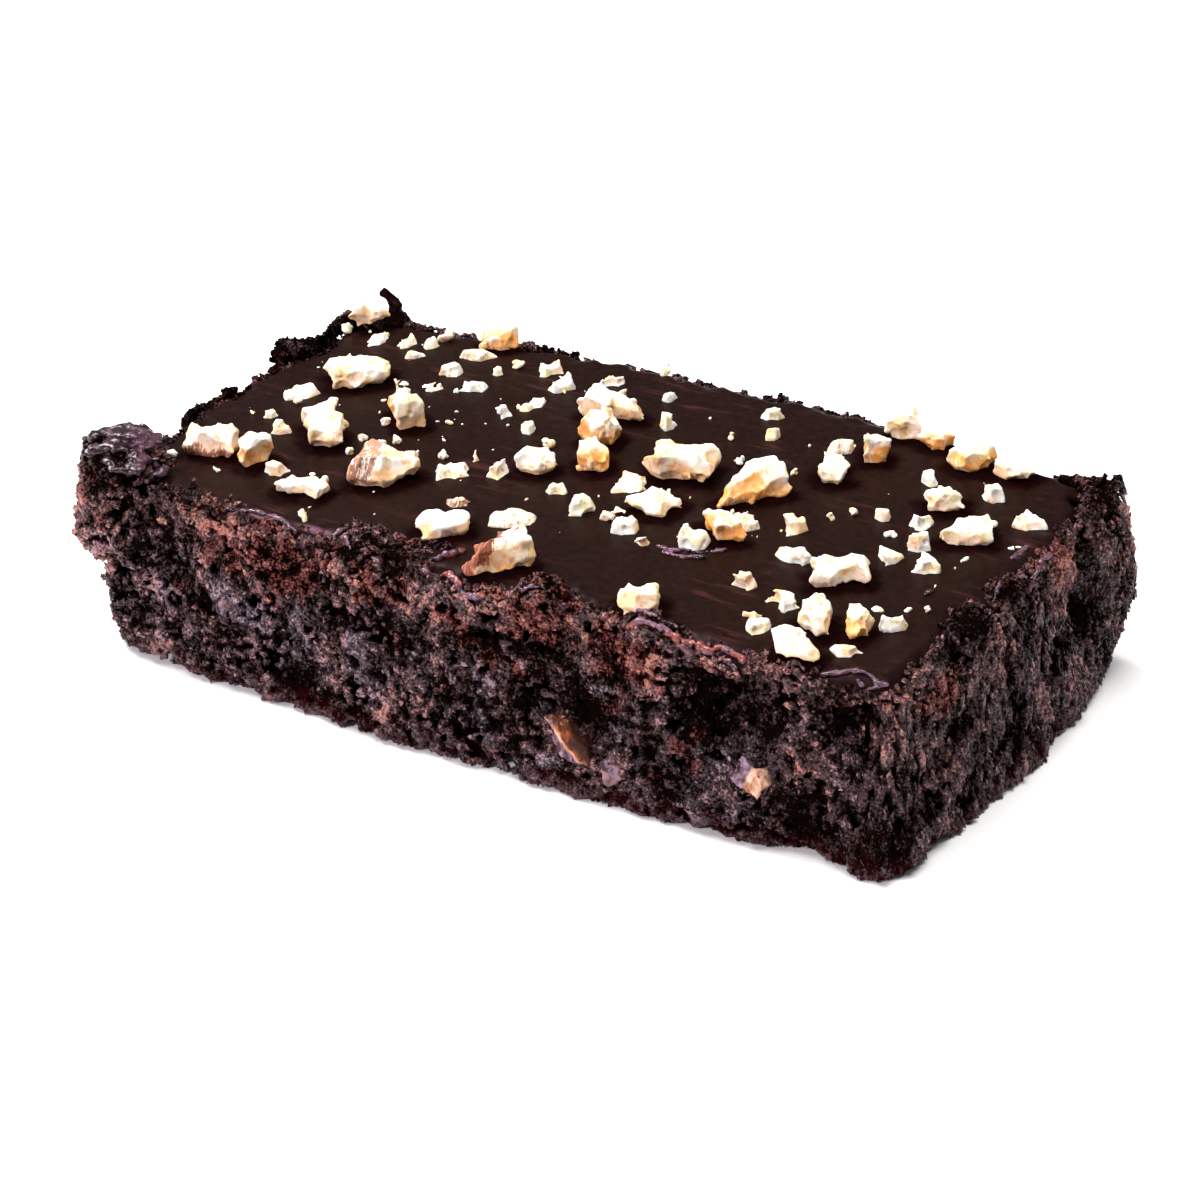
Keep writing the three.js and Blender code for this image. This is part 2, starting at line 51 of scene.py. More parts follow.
# The camera that fits the photograph: degrees, then millimetres.
CAMERA = {"azimuth": 33.81, "elevation": 28.28, "roll": -2.56, "distance": 485.6, "right": -0.91, "up": 6.97}
SENSOR = 36
FOCAL_SHARE = 3622 / 1200


def linear(red, green, blue):
    """An sRGB colour from 0 to 255 as the linear colour that Blender takes."""
    shares = [value / 255 for value in (red, green, blue)]
    return [s / 12.92 if s < 0.04045 else ((s + 0.055) / 1.055) ** 2.4 for s in shares] + [1]


# Noise and levels

NOISE_CELLS = 40
NOISE_LATTICE = np.random.default_rng(3).uniform(-1, 1, (NOISE_CELLS,) * 3).astype(np.float32)


def rough(points, size, shift):
    """Smooth noise from -1 to 1 with features size mm across, read between a random lattice's values."""
    at = points / np.float32(size) + np.float32(shift)
    cell = np.floor(at).astype(np.int32)
    share = at - cell
    share = share * share * (3 - 2 * share)
    near, far = cell % NOISE_CELLS, (cell + 1) % NOISE_CELLS
    total = 0
    for corner in range(8):
        bits = [(corner >> axis) & 1 for axis in range(3)]
        index = tuple((far if bit else near)[:, axis] for axis, bit in enumerate(bits))
        weight = 1
        for axis, bit in enumerate(bits):
            weight = weight * (share[:, axis] if bit else 1 - share[:, axis])
        total = total + weight * NOISE_LATTICE[index]
    return total


def layers(points, *table):
    """Layers of noise added up, each given by its height, the size of its features in mm and a shift."""
    return sum(height * rough(points, size, shift) for height, size, shift in table)


def ramp(value, low, high):
    """0 below low, 1 above high and a smooth rise between."""
    share = np.clip((value - low) / (high - low), 0, 1)
    return share * share * (3 - 2 * share)


def spots(points, table):
    """The strongest of some soft spots at each point. A spot is x, y, z, its reach along x and across."""
    total = np.zeros(len(points), np.float32)
    for x, y, z, along_x, across in table:
        offset = (points - np.array([x, y, z])) / np.array([along_x, across, across])
        total = np.maximum(total, np.exp(-(offset ** 2).sum(1)))
    return total


def at_height(z, *rows):
    """Soft spots at one height, from rows of x, y, reach along x and reach across."""
    return [(x, y, z, along_x, across) for x, y, along_x, across in rows]


def on_front(*rows):
    """Soft spots on the front side, from rows of x, z, reach along x and reach across."""
    return [(x, FRONT, z, along_x, across) for x, z, along_x, across in rows]


# Distances to a surface

class Field:
    """Signed distances to a surface in mm, positive outside, on a block of voxels."""

    def __init__(self, distance, low, voxel):
        self.distance = distance
        self.low = low
        self.voxel = voxel

    @classmethod
    def empty(cls, low, high, voxel, distance):
        """A block between two corners in mm that holds no body yet."""
        start = np.floor(np.array(low) / voxel).astype(int)
        shape = np.ceil(np.array(high) / voxel).astype(int) - start
        return cls(np.full(tuple(shape), distance, np.float32), start, voxel)

    @classmethod
    def of_mesh(cls, points, triangles, voxel, reach, low=None, shape=None):
        """The distances to a mesh, as far as reach, on a block around it or on a given one."""
        transform = openvdb.createLinearTransform(voxel)
        grid = openvdb.FloatGrid.createLevelSetFromPolygons(
            np.ascontiguousarray(points, np.float32),
            triangles=np.ascontiguousarray(triangles, np.uint32),
            transform=transform,
            halfWidth=reach / voxel,
        )
        if low is None:
            margin = int(math.ceil(reach / voxel)) + 2
            low = np.floor(points.min(0) / voxel).astype(int) - margin
            shape = np.ceil(points.max(0) / voxel).astype(int) + margin - low
        distance = np.empty(tuple(shape), np.float32)
        grid.copyToArray(distance, ijk=tuple(int(i) for i in low))
        return cls(distance, np.array(low), voxel)

    def points(self, mask):
        """The places in mm of the voxels of a mask."""
        return ((np.argwhere(mask) + self.low) * self.voxel).astype(np.float32)

    def heights(self):
        """The heights in mm of the block's layers, shaped to spread over the block."""
        return (np.arange(self.distance.shape[2]) + self.low[2]) * self.voxel

    def sample(self, points):
        """The distances at some points, read between the voxels."""
        at = points / self.voxel - self.low
        top = np.array(self.distance.shape) - 2
        cell = np.clip(np.floor(at).astype(int), 0, top)
        share = np.clip(at - cell, 0, 1)
        total = np.zeros(len(points), np.float32)
        for corner in range(8):
            bits = [(corner >> axis) & 1 for axis in range(3)]
            weight = np.ones(len(points), np.float32)
            for axis, bit in enumerate(bits):
                weight *= share[:, axis] if bit else 1 - share[:, axis]
            index = tuple(cell[:, axis] + bit for axis, bit in enumerate(bits))
            total += weight * self.distance[index]
        return total

    def push(self, reach, amount):
        """Moves the surface outwards by amount(points) wherever it lies within reach."""
        mask = np.abs(self.distance) < reach
        self.distance[mask] -= amount(self.points(mask))

    def balls(self, centres, radii, frames, blend, cut=False):
        """Adds stretched balls to the body, or cuts them out of it, with softened joins. The rows of a frame
        are a ball's three half-axes, as shares of its radius."""
        sign = -1 if cut else 1
        for centre, radius, axes in zip(centres, radii, frames):
            lengths = np.linalg.norm(axes, axis=1)
            reach = (radius + blend) * lengths.max() + self.voxel
            start = np.maximum(np.floor((centre - reach) / self.voxel).astype(int) - self.low, 0)
            stop = np.ceil((centre + reach) / self.voxel).astype(int) - self.low + 1
            stop = np.minimum(stop, self.distance.shape)
            if (stop <= start).any():
                continue
            block = self.distance[start[0]:stop[0], start[1]:stop[1], start[2]:stop[2]]
            rows = [np.arange(start[k], stop[k]) + self.low[k] for k in range(3)]
            x, y, z = np.ix_(*(row * self.voxel - centre[k] for k, row in enumerate(rows)))
            total = 0
            for axis, length in zip(axes, lengths):
                turned = axis / length ** 2
                total = total + (x * turned[0] + y * turned[1] + z * turned[2]) ** 2
            ball = (np.sqrt(total) - radius) * lengths.min()
            first = sign * block
            mix = np.maximum(blend - np.abs(first - ball), 0) / blend
            block[...] = sign * (np.minimum(first, ball) - mix * mix * blend / 4)

    def blurred(self, steps, limit=1.5):
        """The distances, cut off at a limit, averaged over a cube of voxels that reaches steps each way."""
        smooth = np.clip(self.distance, -limit, limit)
        for axis in range(3):
            shifted = [np.roll(smooth, step, axis) for step in range(-steps, steps + 1)]
            smooth = sum(shifted) / len(shifted)
        return Field(smooth, self.low, self.voxel)

    def surface(self, adaptivity):
        """The surface's points in mm, and its faces as one group of triangles and one of quads."""
        grid = openvdb.FloatGrid(float(self.distance.max()))
        grid.copyFromArray(self.distance, ijk=tuple(int(i) for i in self.low))
        grid.transform = openvdb.createLinearTransform(self.voxel)
        points, *faces = grid.convertToPolygons(0.0, adaptivity)
        return points, faces


# Meshes

def add_object(name, data):
    """A new object of the scene."""
    thing = bpy.data.objects.new(name, data)
    bpy.context.scene.collection.objects.link(thing)
    return thing


def mesh_arrays(mesh):
    """The points and the triangles of a mesh."""
    mesh.calc_loop_triangles()
    points = np.empty(len(mesh.vertices) * 3, np.float32)
    mesh.vertices.foreach_get("co", points)
    corners = np.empty(len(mesh.loop_triangles) * 3, np.int32)
    mesh.loop_triangles.foreach_get("vertices", corners)
    return points.reshape(-1, 3), corners.reshape(-1, 3)


def node_mesh(*names):
    """The points in mm and the triangles of some CAD nodes together."""
    points, triangles, count = [], [], 0
    for name in names:
        node_points, node_triangles = mesh_arrays(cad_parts[name].data)
        points.append(node_points / MM)
        triangles.append(node_triangles + count)
        count += len(node_points)
    return np.concatenate(points).astype(np.float32), np.concatenate(triangles).astype(np.uint32)


def make_piece(name, points, faces, replaces, material, attributes, smooth=True):
    """A mesh object from points in mm, which rides on the slab and stands for CAD nodes. An attribute is a
    value for each point or one for all of them."""
    mesh = bpy.data.meshes.new(name)
    faces = [np.asarray(group) for group in faces if len(group)]
    sizes = np.concatenate([np.full(len(group), group.shape[1]) for group in faces])
    corners = np.concatenate([group.reshape(-1) for group in faces]).astype(np.int32)
    mesh.vertices.add(len(points))
    mesh.vertices.foreach_set("co", (np.asarray(points, np.float32) * MM).reshape(-1))
    mesh.loops.add(len(corners))
    mesh.loops.foreach_set("vertex_index", corners)
    mesh.polygons.add(len(sizes))
    mesh.polygons.foreach_set("loop_start", (np.cumsum(sizes) - sizes).astype(np.int32))
    mesh.polygons.foreach_set("use_smooth", np.full(len(sizes), smooth))
    mesh.update(calc_edges=True)
    mesh.validate()
    for key, values in attributes.items():
        values = np.full(len(points), values, np.float32)
        mesh.attributes.new(key, "FLOAT", "POINT").data.foreach_set("value", values)
    mesh.materials.append(material)
    piece = add_object(name, mesh)
    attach(piece, "root")
    if replaces:
        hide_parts(*replaces)


def turned_frames(count, rng, scales):
    """Random half-axes for balls: three square directions, with lengths between the scales' limits."""
    turns = np.linalg.qr(rng.normal(size=(count, 3, 3)))[0]
    lengths = np.stack([rng.uniform(low, high, count) for low, high in scales], 1)
    return turns * lengths[:, :, None]


def upright_frames(count, rng, wide, tall):
    """Half-axes along x, y and z, with the upright one as long as given."""
    frames = np.zeros((count, 3, 3))
    frames[:, 0, 0] = rng.uniform(*wide, count)
    frames[:, 1, 1] = rng.uniform(*wide, count)
    frames[:, 2, 2] = tall
    return frames


def as_triangles(faces):
    """Triangles and quads as triangles alone."""
    parts = [group[:, [0, k, k + 1]] for group in faces for k in range(1, group.shape[1] - 1)]
    return np.concatenate(parts)


def fewer_faces(points, faces, most):
    """The same surface with at most so many triangles, the plainest spots thinned most."""
    count = len(as_triangles(faces))
    if count <= most:
        return points, faces
    mesh = bpy.data.meshes.new("thinning")
    mesh.from_pydata(points, [], [face for group in faces for face in group.tolist()])
    holder = add_object("thinning", mesh)
    thin = holder.modifiers.new("thin", "DECIMATE")
    thin.ratio = most / count
    made = holder.evaluated_get(bpy.context.evaluated_depsgraph_get()).to_mesh()
    points, triangles = mesh_arrays(made)
    bpy.data.objects.remove(holder)
    bpy.data.meshes.remove(mesh)
    return points, (triangles,)


def largest_body(points, faces):
    """Only the faces and points of the body with the most points."""
    edges = np.concatenate([group[:, [k - 1, k]] for group in faces for k in range(group.shape[1])])
    start, end = edges.astype(np.int64).T
    labels = np.arange(len(points))
    while True:
        least = np.minimum(labels[start], labels[end])
        merged = labels.copy()
        np.minimum.at(merged, start, least)
        np.minimum.at(merged, end, least)
        merged = merged[merged]
        if (merged == labels).all():
            break
        labels = merged
    kept = labels == np.bincount(labels).argmax()
    number = np.cumsum(kept) - 1
    return points[kept], tuple(number[group[kept[group[:, 0]]]] for group in faces)


def scatter_on(points, triangles, count, rng, weight=None):
    """Random places on a mesh, evenly by area or by a weight for each face, and the normals there."""
    a, b, c = (points[triangles[:, k]] for k in range(3))
    normal = np.cross(b - a, c - a)
    area = np.linalg.norm(normal, axis=1)
    normal = normal / np.maximum(area, 1e-9)[:, None]
    share = area * (1 if weight is None else weight((a + b + c) / 3, normal))
    chosen = rng.choice(len(triangles), count, p=share / share.sum())
    u, v = np.sqrt(rng.random(count)), rng.random(count)
    weights = (1 - u, u * (1 - v), u * v)
    places = sum(weight[:, None] * corner[chosen] for weight, corner in zip(weights, (a, b, c)))
    return places, normal[chosen]


def along(path, spacing, wobble, rng):
    """Places every so many mm along a bent line through some points, each a little off it."""
    path = np.array(path, float)
    lengths = np.concatenate([[0], np.cumsum(np.linalg.norm(np.diff(path, axis=0), axis=1))])
    at = np.arange(0, lengths[-1], spacing)
    places = np.stack([np.interp(at, lengths, path[:, k]) for k in range(path.shape[1])], 1)
    return places + rng.normal(0, wobble, places.shape)


# Materials

# Where a mix node for colours keeps its share, its two colours and its result.
MIX_SHARE, MIX_A, MIX_B, MIX_RESULT = 0, 6, 7, 2


class Nodes:
    """A material's node tree, with short names for the nodes it is made of."""

    def __init__(self, name):
        self.material = bpy.data.materials.new(name)
        self.material.use_nodes = True
        self.tree = self.material.node_tree
        self.shader = self.tree.nodes["Principled BSDF"]
        self.coordinates = self.add("ShaderNodeTexCoord", "Object", {})

    def put(self, value, socket):
        """Links a socket to another one, or gives it a plain value."""
        if isinstance(value, bpy.types.NodeSocket):
            self.tree.links.new(value, socket)
        else:
            socket.default_value = value

    def add(self, kind, output, inputs, **settings):
        """Adds a node with the given inputs and settings. Returns one of its outputs."""
        node = self.tree.nodes.new(kind)
        for key, value in settings.items():
            setattr(node, key, value)
        for key, value in inputs.items():
            self.put(value, node.inputs[key])
        return node.outputs[output]

    def set(self, **sockets):
        """Sets sockets of the material's shader."""
        for key, value in sockets.items():
            self.put(value, self.shader.inputs[key.replace("_", " ")])

    def attribute(self, name):
        return self.add("ShaderNodeAttribute", "Fac", {}, attribute_name=name)

    def place(self, scale=(1, 1, 1), turn=0):
        """Object coordinates in mm, turned about +Z and scaled."""
        scale = [s / MM for s in scale]
        inputs = {"Vector": self.coordinates, "Rotation": (0, 0, math.radians(turn)), "Scale": scale}
        return self.add("ShaderNodeMapping", "Vector", inputs, vector_type="POINT")

    def noise(self, size, detail=3, roughness=0.55, vector=None, distortion=0):
        """Fractal noise from 0 to 1 with features about size mm across."""
        inputs = {"Scale": 1 / size, "Detail": detail, "Roughness": roughness, "Distortion": distortion}
        return self.add("ShaderNodeTexNoise", "Fac", {"Vector": vector or self.place(), **inputs})

    def cells(self, size):
        """Distance to the nearest of points about size mm apart, from 0 to about 1."""
        return self.add("ShaderNodeTexVoronoi", "Distance", {"Vector": self.place(), "Scale": 1 / size})

    def fit(self, value, low, high, to_low=0.0, to_high=1.0):
        """A value that runs smoothly from to_low at low to to_high at high."""
        inputs = {"Value": value, "From Min": low, "From Max": high, "To Min": to_low, "To Max": to_high}
        return self.add("ShaderNodeMapRange", "Result", inputs, interpolation_type="SMOOTHSTEP")

    def math(self, operation, *values):
        return self.add("ShaderNodeMath", 0, dict(enumerate(values)), operation=operation)

    def times(self, a, b):
        return self.math("MULTIPLY", a, b)

    def sway(self, level, value, amount):
        """A level moved down and up, by half the amount each way, as a value runs from 0 to 1."""
        return self.math("MULTIPLY_ADD", self.math("SUBTRACT", value, 0.5), amount, level)

    def mix(self, share, a, b):
        """A mix of two colours, each of them a socket or red, green and blue from 0 to 255."""
        a, b = (linear(*colour) if isinstance(colour, tuple) else colour for colour in (a, b))
        inputs = {MIX_SHARE: share, MIX_A: a, MIX_B: b}
        return self.add("ShaderNodeMix", MIX_RESULT, inputs, data_type="RGBA")

    def bump(self, height, distance, strength=1.0):
        """Adds a bump of the height, in mm, over the bumps that are there already."""
        inputs = {"Strength": strength, "Distance": distance * MM, "Height": height}
        below = self.shader.inputs["Normal"].links
        if below:
            inputs["Normal"] = below[0].from_socket
        self.set(Normal=self.add("ShaderNodeBump", "Normal", inputs))


# The tint of the highlights on moist chocolate.
VIOLET = linear(244, 222, 238)
# The colours that lie over the plain icing where a vertex attribute says so, and how much they cover. The
# violet coat is a painted sheen, and the near-black shade coat is painted shade.
ICING_COATS = [
    ("edge", 0.6, (24, 9, 10)), ("smear", 0.9, (124, 60, 52)), ("painted_violet_sheen", 0.75, (116, 80, 98)),
    ("shade", 0.94, (14, 2, 3)),
]


def crumb_material():
    """Torn crumb: painted shade in its hollows, then moist or rusty, then painted pale glints on its tips.
    """
    nodes = Nodes("crumb")
    rust = nodes.attribute("rust")
    grain = nodes.noise(0.4, 4, 0.75)
    beads = nodes.cells(0.45)
    patch = nodes.noise(7, 3)
    level = nodes.sway(nodes.attribute("cavity"), grain, 2.6)
    level = nodes.sway(level, nodes.attribute("tone"), 0.5)
    level = nodes.sway(level, beads, -0.35)
    # The violet share: a cooler moist hue low on the sides, and painted violet glints where the glint spots
    # lie.
    violet_tint_and_glint = nodes.times(nodes.fit(patch, 0.35, 0.65), nodes.attribute("violet_tint_and_glint"))
    moist = nodes.mix(violet_tint_and_glint, (50, 23, 17), (42, 26, 28))
    dry = nodes.mix(nodes.fit(grain, 0.35, 0.65), (64, 23, 15), (128, 53, 37))
    # Painted shade: near black where the level is low, in the crumb's hollows.
    colour = nodes.mix(nodes.fit(level, 0.36, 0.78), (14, 7, 5), nodes.mix(rust, moist, dry))
    # Painted glints on the tips: pale, more violet where the violet share is high, and reddish on rusty
    # crumb.
    tips = nodes.mix(violet_tint_and_glint, (190, 122, 104), (166, 144, 162))
    tips = nodes.mix(rust, tips, (204, 120, 96))
    colour = nodes.mix(nodes.fit(level, 0.94, 1.22), colour, tips)
    colour = nodes.mix(nodes.attribute("foot"), colour, (50, 8, 9))
    nodes.set(Base_Color=colour)
    nodes.set(Roughness=nodes.fit(nodes.noise(1.3, 3), 0.4, 0.65, 0.5, 0.24))
    nodes.set(Specular_IOR_Level=nodes.fit(level, 0.4, 1.0, 0.0, 1.0), Specular_Tint=VIOLET)
    nodes.bump(grain, 0.5)
    nodes.bump(beads, -0.25)
    return nodes.material


def icing_material():
    """Dark icing with faint streaks, and with other colours where it is thin or smeared, a painted violet
    sheen in places and painted shade near a nut.
    """
    nodes = Nodes("icing")
    streak = nodes.noise(1.6, 3, 0.5, nodes.place((0.16, 1.1, 1), 8), 0.6)
    cloud = nodes.noise(18, 3)
    mottle = nodes.noise(1.1, 5, 0.75)
    colour = nodes.mix(nodes.fit(mottle, 0.35, 0.68), (19, 8, 5), (32, 15, 10))
    faint = nodes.times(nodes.fit(streak, 0.55, 0.75), nodes.fit(cloud, 0.36, 0.6))
    colour = nodes.mix(nodes.times(faint, 0.5), colour, (76, 42, 42))
    for name, share, coat in ICING_COATS:
        colour = nodes.mix(nodes.times(nodes.attribute(name), share), colour, coat)
    wrinkled = nodes.attribute("wrinkled")
    shine = nodes.fit(nodes.attribute("shade"), 0, 0.8, 1, 0.1)
    shine = nodes.times(nodes.fit(wrinkled, 0, 1, 0.04, 0.6), shine)
    nodes.set(Base_Color=colour, Roughness=nodes.fit(wrinkled, 0, 1, 0.4, 0.24))
    nodes.set(Specular_IOR_Level=shine, Specular_Tint=VIOLET)
    nodes.bump(nodes.noise(6, 2), 0.12, 0.4)
    nodes.bump(nodes.times(nodes.noise(0.9, 3, 0.6), wrinkled), 0.3, 0.6)
    return nodes.material


def walnut_material():
    """Pale flesh, yellow-brown in places and finely veined, under patches of streaky brown or tan skin. The
    yellow-brown is painted shade on the nuts' lower parts, and a random tint on the chips.
    """
    nodes = Nodes("walnut")
    grain = nodes.noise(0.9, 4, 0.6)
    flesh = nodes.mix(nodes.fit(nodes.noise(2.4, 2), 0.42, 0.66), (255, 255, 248), (255, 240, 192))
    # The yellow-brown coat: painted shade low on the nuts, and a random tint on the chips.
    gold_and_painted_shade = nodes.times(nodes.attribute("gold_and_painted_shade"), nodes.fit(grain, 0.2, 0.7, 0.5, 1))
    flesh = nodes.mix(gold_and_painted_shade, flesh, (228, 158, 78))
    streak = nodes.noise(0.4, 4, 0.65, nodes.place((1.3, 0.3, 0.22), 50))
    brown = nodes.mix(nodes.fit(streak, 0.4, 0.6), (96, 40, 24), (176, 104, 70))
    pale = nodes.mix(nodes.fit(streak, 0.42, 0.56), (140, 76, 46), (250, 226, 200))
    papery = nodes.mix(nodes.attribute("tan"), brown, pale)
    torn = nodes.math("ADD", nodes.attribute("skin"), nodes.fit(streak, 0.4, 0.6, 0, 0.6))
    crease = nodes.math("ABSOLUTE", nodes.math("SUBTRACT", nodes.noise(2.0, 2, 0.5), 0.5))
    veins = nodes.times(nodes.fit(crease, 0.0, 0.035, 0.6, 0), nodes.fit(grain, 0.42, 0.6))
    flesh = nodes.mix(veins, flesh, (196, 132, 66))
    nodes.set(Base_Color=nodes.mix(nodes.fit(torn, 0.85, 1.0), flesh, papery))
    nodes.set(Roughness=nodes.fit(grain, 0.3, 0.7, 0.45, 0.65))
    nodes.set(Subsurface_Weight=0.25, Subsurface_Radius=(1.0, 0.6, 0.3), Subsurface_Scale=0.7 * MM)
    nodes.bump(nodes.noise(0.6, 4, 0.65), 0.16, 0.5)
    return nodes.material


def baked_walnut_material():
    """Amber flesh, cream where the cream share or the painted highlight line says, with dusty skin, that
    fades into the crumb under painted shade.
    """
    nodes = Nodes("baked_walnut")
    grain = nodes.noise(1.2, 4, 0.6)
    streak = nodes.noise(0.8, 4, 0.65, nodes.place((1, 1, 0.35)))
    amber = nodes.mix(nodes.fit(streak, 0.35, 0.65), (66, 26, 14), (166, 88, 46))
    cream = nodes.mix(nodes.fit(streak, 0.3, 0.6), (140, 84, 62), (230, 184, 158))
    # Cream flesh, and a painted highlight line along the edge of the papery side.
    flesh = nodes.mix(nodes.attribute("cream_and_painted_highlight"), amber, cream)
    papery = nodes.mix(nodes.fit(grain, 0.35, 0.65), (70, 46, 54), (160, 134, 152))
    colour = nodes.mix(nodes.attribute("skin"), flesh, papery)
    # Painted shade that darkens the nut into the crumb, and a darker mottle on the nuts with skin all over.
    colour = nodes.mix(nodes.attribute("dim_and_painted_shade"), colour, (34, 14, 10))
    nodes.set(Base_Color=colour, Roughness=0.6, Specular_IOR_Level=0.15)
    nodes.bump(nodes.noise(0.6, 4, 0.65), 0.2, 0.6)
    return nodes.material


CRUMB_MATERIAL = crumb_material()
ICING_MATERIAL = icing_material()
WALNUT_MATERIAL = walnut_material()
BAKED_MATERIAL = baked_walnut_material()

NUTS = sorted(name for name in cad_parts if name.startswith("walnut_"))
BAKED = sorted(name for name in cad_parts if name.startswith("baked_walnut_"))

# The icing

ICING_VOXEL = 0.4
ICING_REACH = 1.6
RIM_LEVEL = ICING_TOP - 1
RIM_STEPS = 14
# How the icing climbs the nuts' feet: the height at which it meets them, its rise and its reach.
NUT_FOOT = ICING_TOP + 0.6
MENISCUS_RISE = 0.4
MENISCUS_REACH = 0.7
# How far from a nut the distance to it is still known, and what stands for it farther out.
NUT_REACH = 2.4
NO_NUT = 9
# How far the shade around a nut's foot reaches as it falls off, and between what distances it ends.
SHADE_REACH = 2.0
SHADE_END = (1.5, 2.3)
# How noise is squeezed along each axis, for the flattened folds at the rim and the long waves on top.
FOLD_SQUEEZE = np.array([1, 1, 1.6], np.float32)
WAVE_SQUEEZE = np.array([0.5, 1, 1], np.float32)
# Spots of painted violet sheen on the icing's top.
PAINTED_SHEEN_SPOTS = at_height(
    25, (7, -32.6, 3.4, 1.2), (50.4, -24.6, 2.4, 0.45), (57.1, 8.2, 0.4, 2.6), (-24, -28.4, 5, 0.7),
    (-34, -28.4, 8, 0.5), (-61, -19, 3, 3), (-13, 33, 2.6, 0.4), (1.6, 29.6, 5.5, 0.35),
)

icing_points, icing_triangles = node_mesh("icing")
icing = Field.of_mesh(icing_points, icing_triangles, ICING_VOXEL, ICING_REACH)
icing.distance = np.maximum(icing.distance, icing.heights() - ICING_TOP).astype(np.float32)


def depth_in(field, level, steps):
    """How far in mm each column of a field lies inside the body's outline at a level, up to some steps."""
    inside = field.distance[:, :, int(round(level / field.voxel)) - field.low[2]] < 0
    depth = np.zeros(inside.shape, np.float32)
    for _ in range(steps):
        depth += inside
        shrunk = inside.copy()
        for axis, step in ((0, 1), (0, -1), (1, 1), (1, -1)):
            shrunk &= np.roll(inside, step, axis)
        inside = shrunk
    return depth * field.voxel


def nut_distances():
    """How far in mm each column of the icing lies from the nearest nut."""
    nearest = np.full(icing.distance.shape[:2], NO_NUT, np.float32)
    for name in NUTS:
        nut = Field.of_mesh(*node_mesh(name), ICING_VOXEL, NUT_REACH)
        layer = nut.distance[:, :, int(round(NUT_FOOT / ICING_VOXEL)) - nut.low[2]]
        start = nut.low[:2] - icing.low[:2]
        first, last = np.maximum(start, 0), np.minimum(start + layer.shape, nearest.shape)
        there = tuple(slice(*ends) for ends in zip(first, last))
        here = tuple(slice(*ends) for ends in zip(first - start, last - start))
        nearest[there] = np.minimum(nearest[there], layer[here])
    return nearest


def columns(values, points):
    """Reads a map of the icing's columns at some points."""
    at = np.rint(points[:, :2] / ICING_VOXEL).astype(int) - icing.low[:2]
    at = np.clip(at, 0, np.array(values.shape) - 1)
    return values[at[:, 0], at[:, 1]]


edge_depth = depth_in(icing, RIM_LEVEL, RIM_STEPS)
nut_distance = nut_distances()


def icing_push(points):
    """How far the icing moves outwards: folds and rags at its rim, faint waves, and a rise at the nuts."""
    depth = columns(edge_depth, points)
    near = np.maximum(columns(nut_distance, points), 0)
    rim = 1 - ramp(depth, 0.8, 4.2)
    lip = 1 - ramp(depth, 0.4, 2)
    above = ramp(points[:, 2], ICING_TOP - 1.2, ICING_TOP - 0.4)
    folds = 0.4 * rough(points * FOLD_SQUEEZE, 3.4, 5.0) + 0.2 * rough(points, 1.5, 9.0)
    rags = 0.3 * rough(points, 1.1, 3.0) - 0.15
    waves = 0.05 * rough(points * WAVE_SQUEEZE, 7, 2.0) * above
    meniscus = MENISCUS_RISE * np.exp(-((near / MENISCUS_REACH) ** 2)) * above
    return rim * folds + lip * rags + waves + meniscus


def nut_shade(points):
    """How deep in the nuts' shade some points of the icing lie."""
    near = columns(nut_distance, points)
    uneven = np.maximum(near + 0.3 * rough(points, 1.2, 6.0), 0)
    return np.exp(-((uneven / SHADE_REACH) ** 2)) * (1 - ramp(near, *SHADE_END))


icing.push(ICING_REACH - 0.3, icing_push)
top_points, top_faces = icing.surface(0.004)
make_piece("icing_top", top_points, top_faces, ["icing"], ICING_MATERIAL, {
    "edge": 1 - ramp(columns(edge_depth, top_points), 0.8, 3),
    "smear": 0,
    "painted_violet_sheen": ramp(spots(top_points, PAINTED_SHEEN_SPOTS) + 0.25 * rough(top_points, 1.2, 8.0), 0.35, 0.9),
    "shade": nut_shade(top_points),
    "wrinkled": 0,
})

# Chips: what the icing's solid holds above its level top, with feet drawn down into the icing

CHIP_VOXEL = 0.17
CHIP_SEED = 31
# The height at which the chips are cut off the icing's solid, and the one to which their feet reach down.
CHIP_CUT = ICING_TOP + 0.03
CHIP_FOOT = ICING_TOP - 0.3
# A way along which no two triangles lie level, to put them in one order.
SLANT = np.array([1, 0.371, 0.113])
NUT_ROUGHNESS = ((0.16, 1.6, 1.3), (0.07, 0.6, 6.1))
# Single crumbs of walnut: where they lie and how wide they are.
NUT_CRUMBS = [
    (-54.6, -20.4, 2), (-28.2, -27, 2), (-35, -4.4, 2), (-30.6, -2.6, 2), (-11.8, 6.2, 2.2),
    (-22.2, -3.2, 1.9), (33.4, 7.6, 2), (41.2, 4.4, 2.1), (48.5, -13, 2), (13.6, 13.2, 2.2),
    (6.6, -8.6, 2.2), (-29.6, 24.6, 2.3), (-53.3, -4.7, 1), (-46.7, -21.3, 1.3), (-27.1, 5.7, 1.4),
    (8.7, 19.1, 1.5), (21.2, 14.2, 1.4), (32.3, 5.2, 1.4), (54.1, -10.7, 1.2), (56, 8.8, 1.2),
    (52, 2.5, 0.9), (-10, 33.2, 2.4), (-40.3, 12.7, 1.6), (-35.4, 1.5, 2.2), (-32.3, -4.2, 1.9),
    (-34, -8.3, 2), (-36.3, 13.3, 1.3), (-32.7, 14.1, 1.4), (-23.5, 11.7, 1.6), (-21.8, 14, 1.2),
    (-20.4, 15.5, 1), (-50.1, 0.9, 2), (14.1, -12.3, 1.6), (-58.5, 23.7, 2.6), (-43.6, 28, 3),
]
NUT_SPECKS = 70
# Specks lie between these corners.
SPECKS_FROM, SPECKS_TO = (-55, -24), (52, 25)
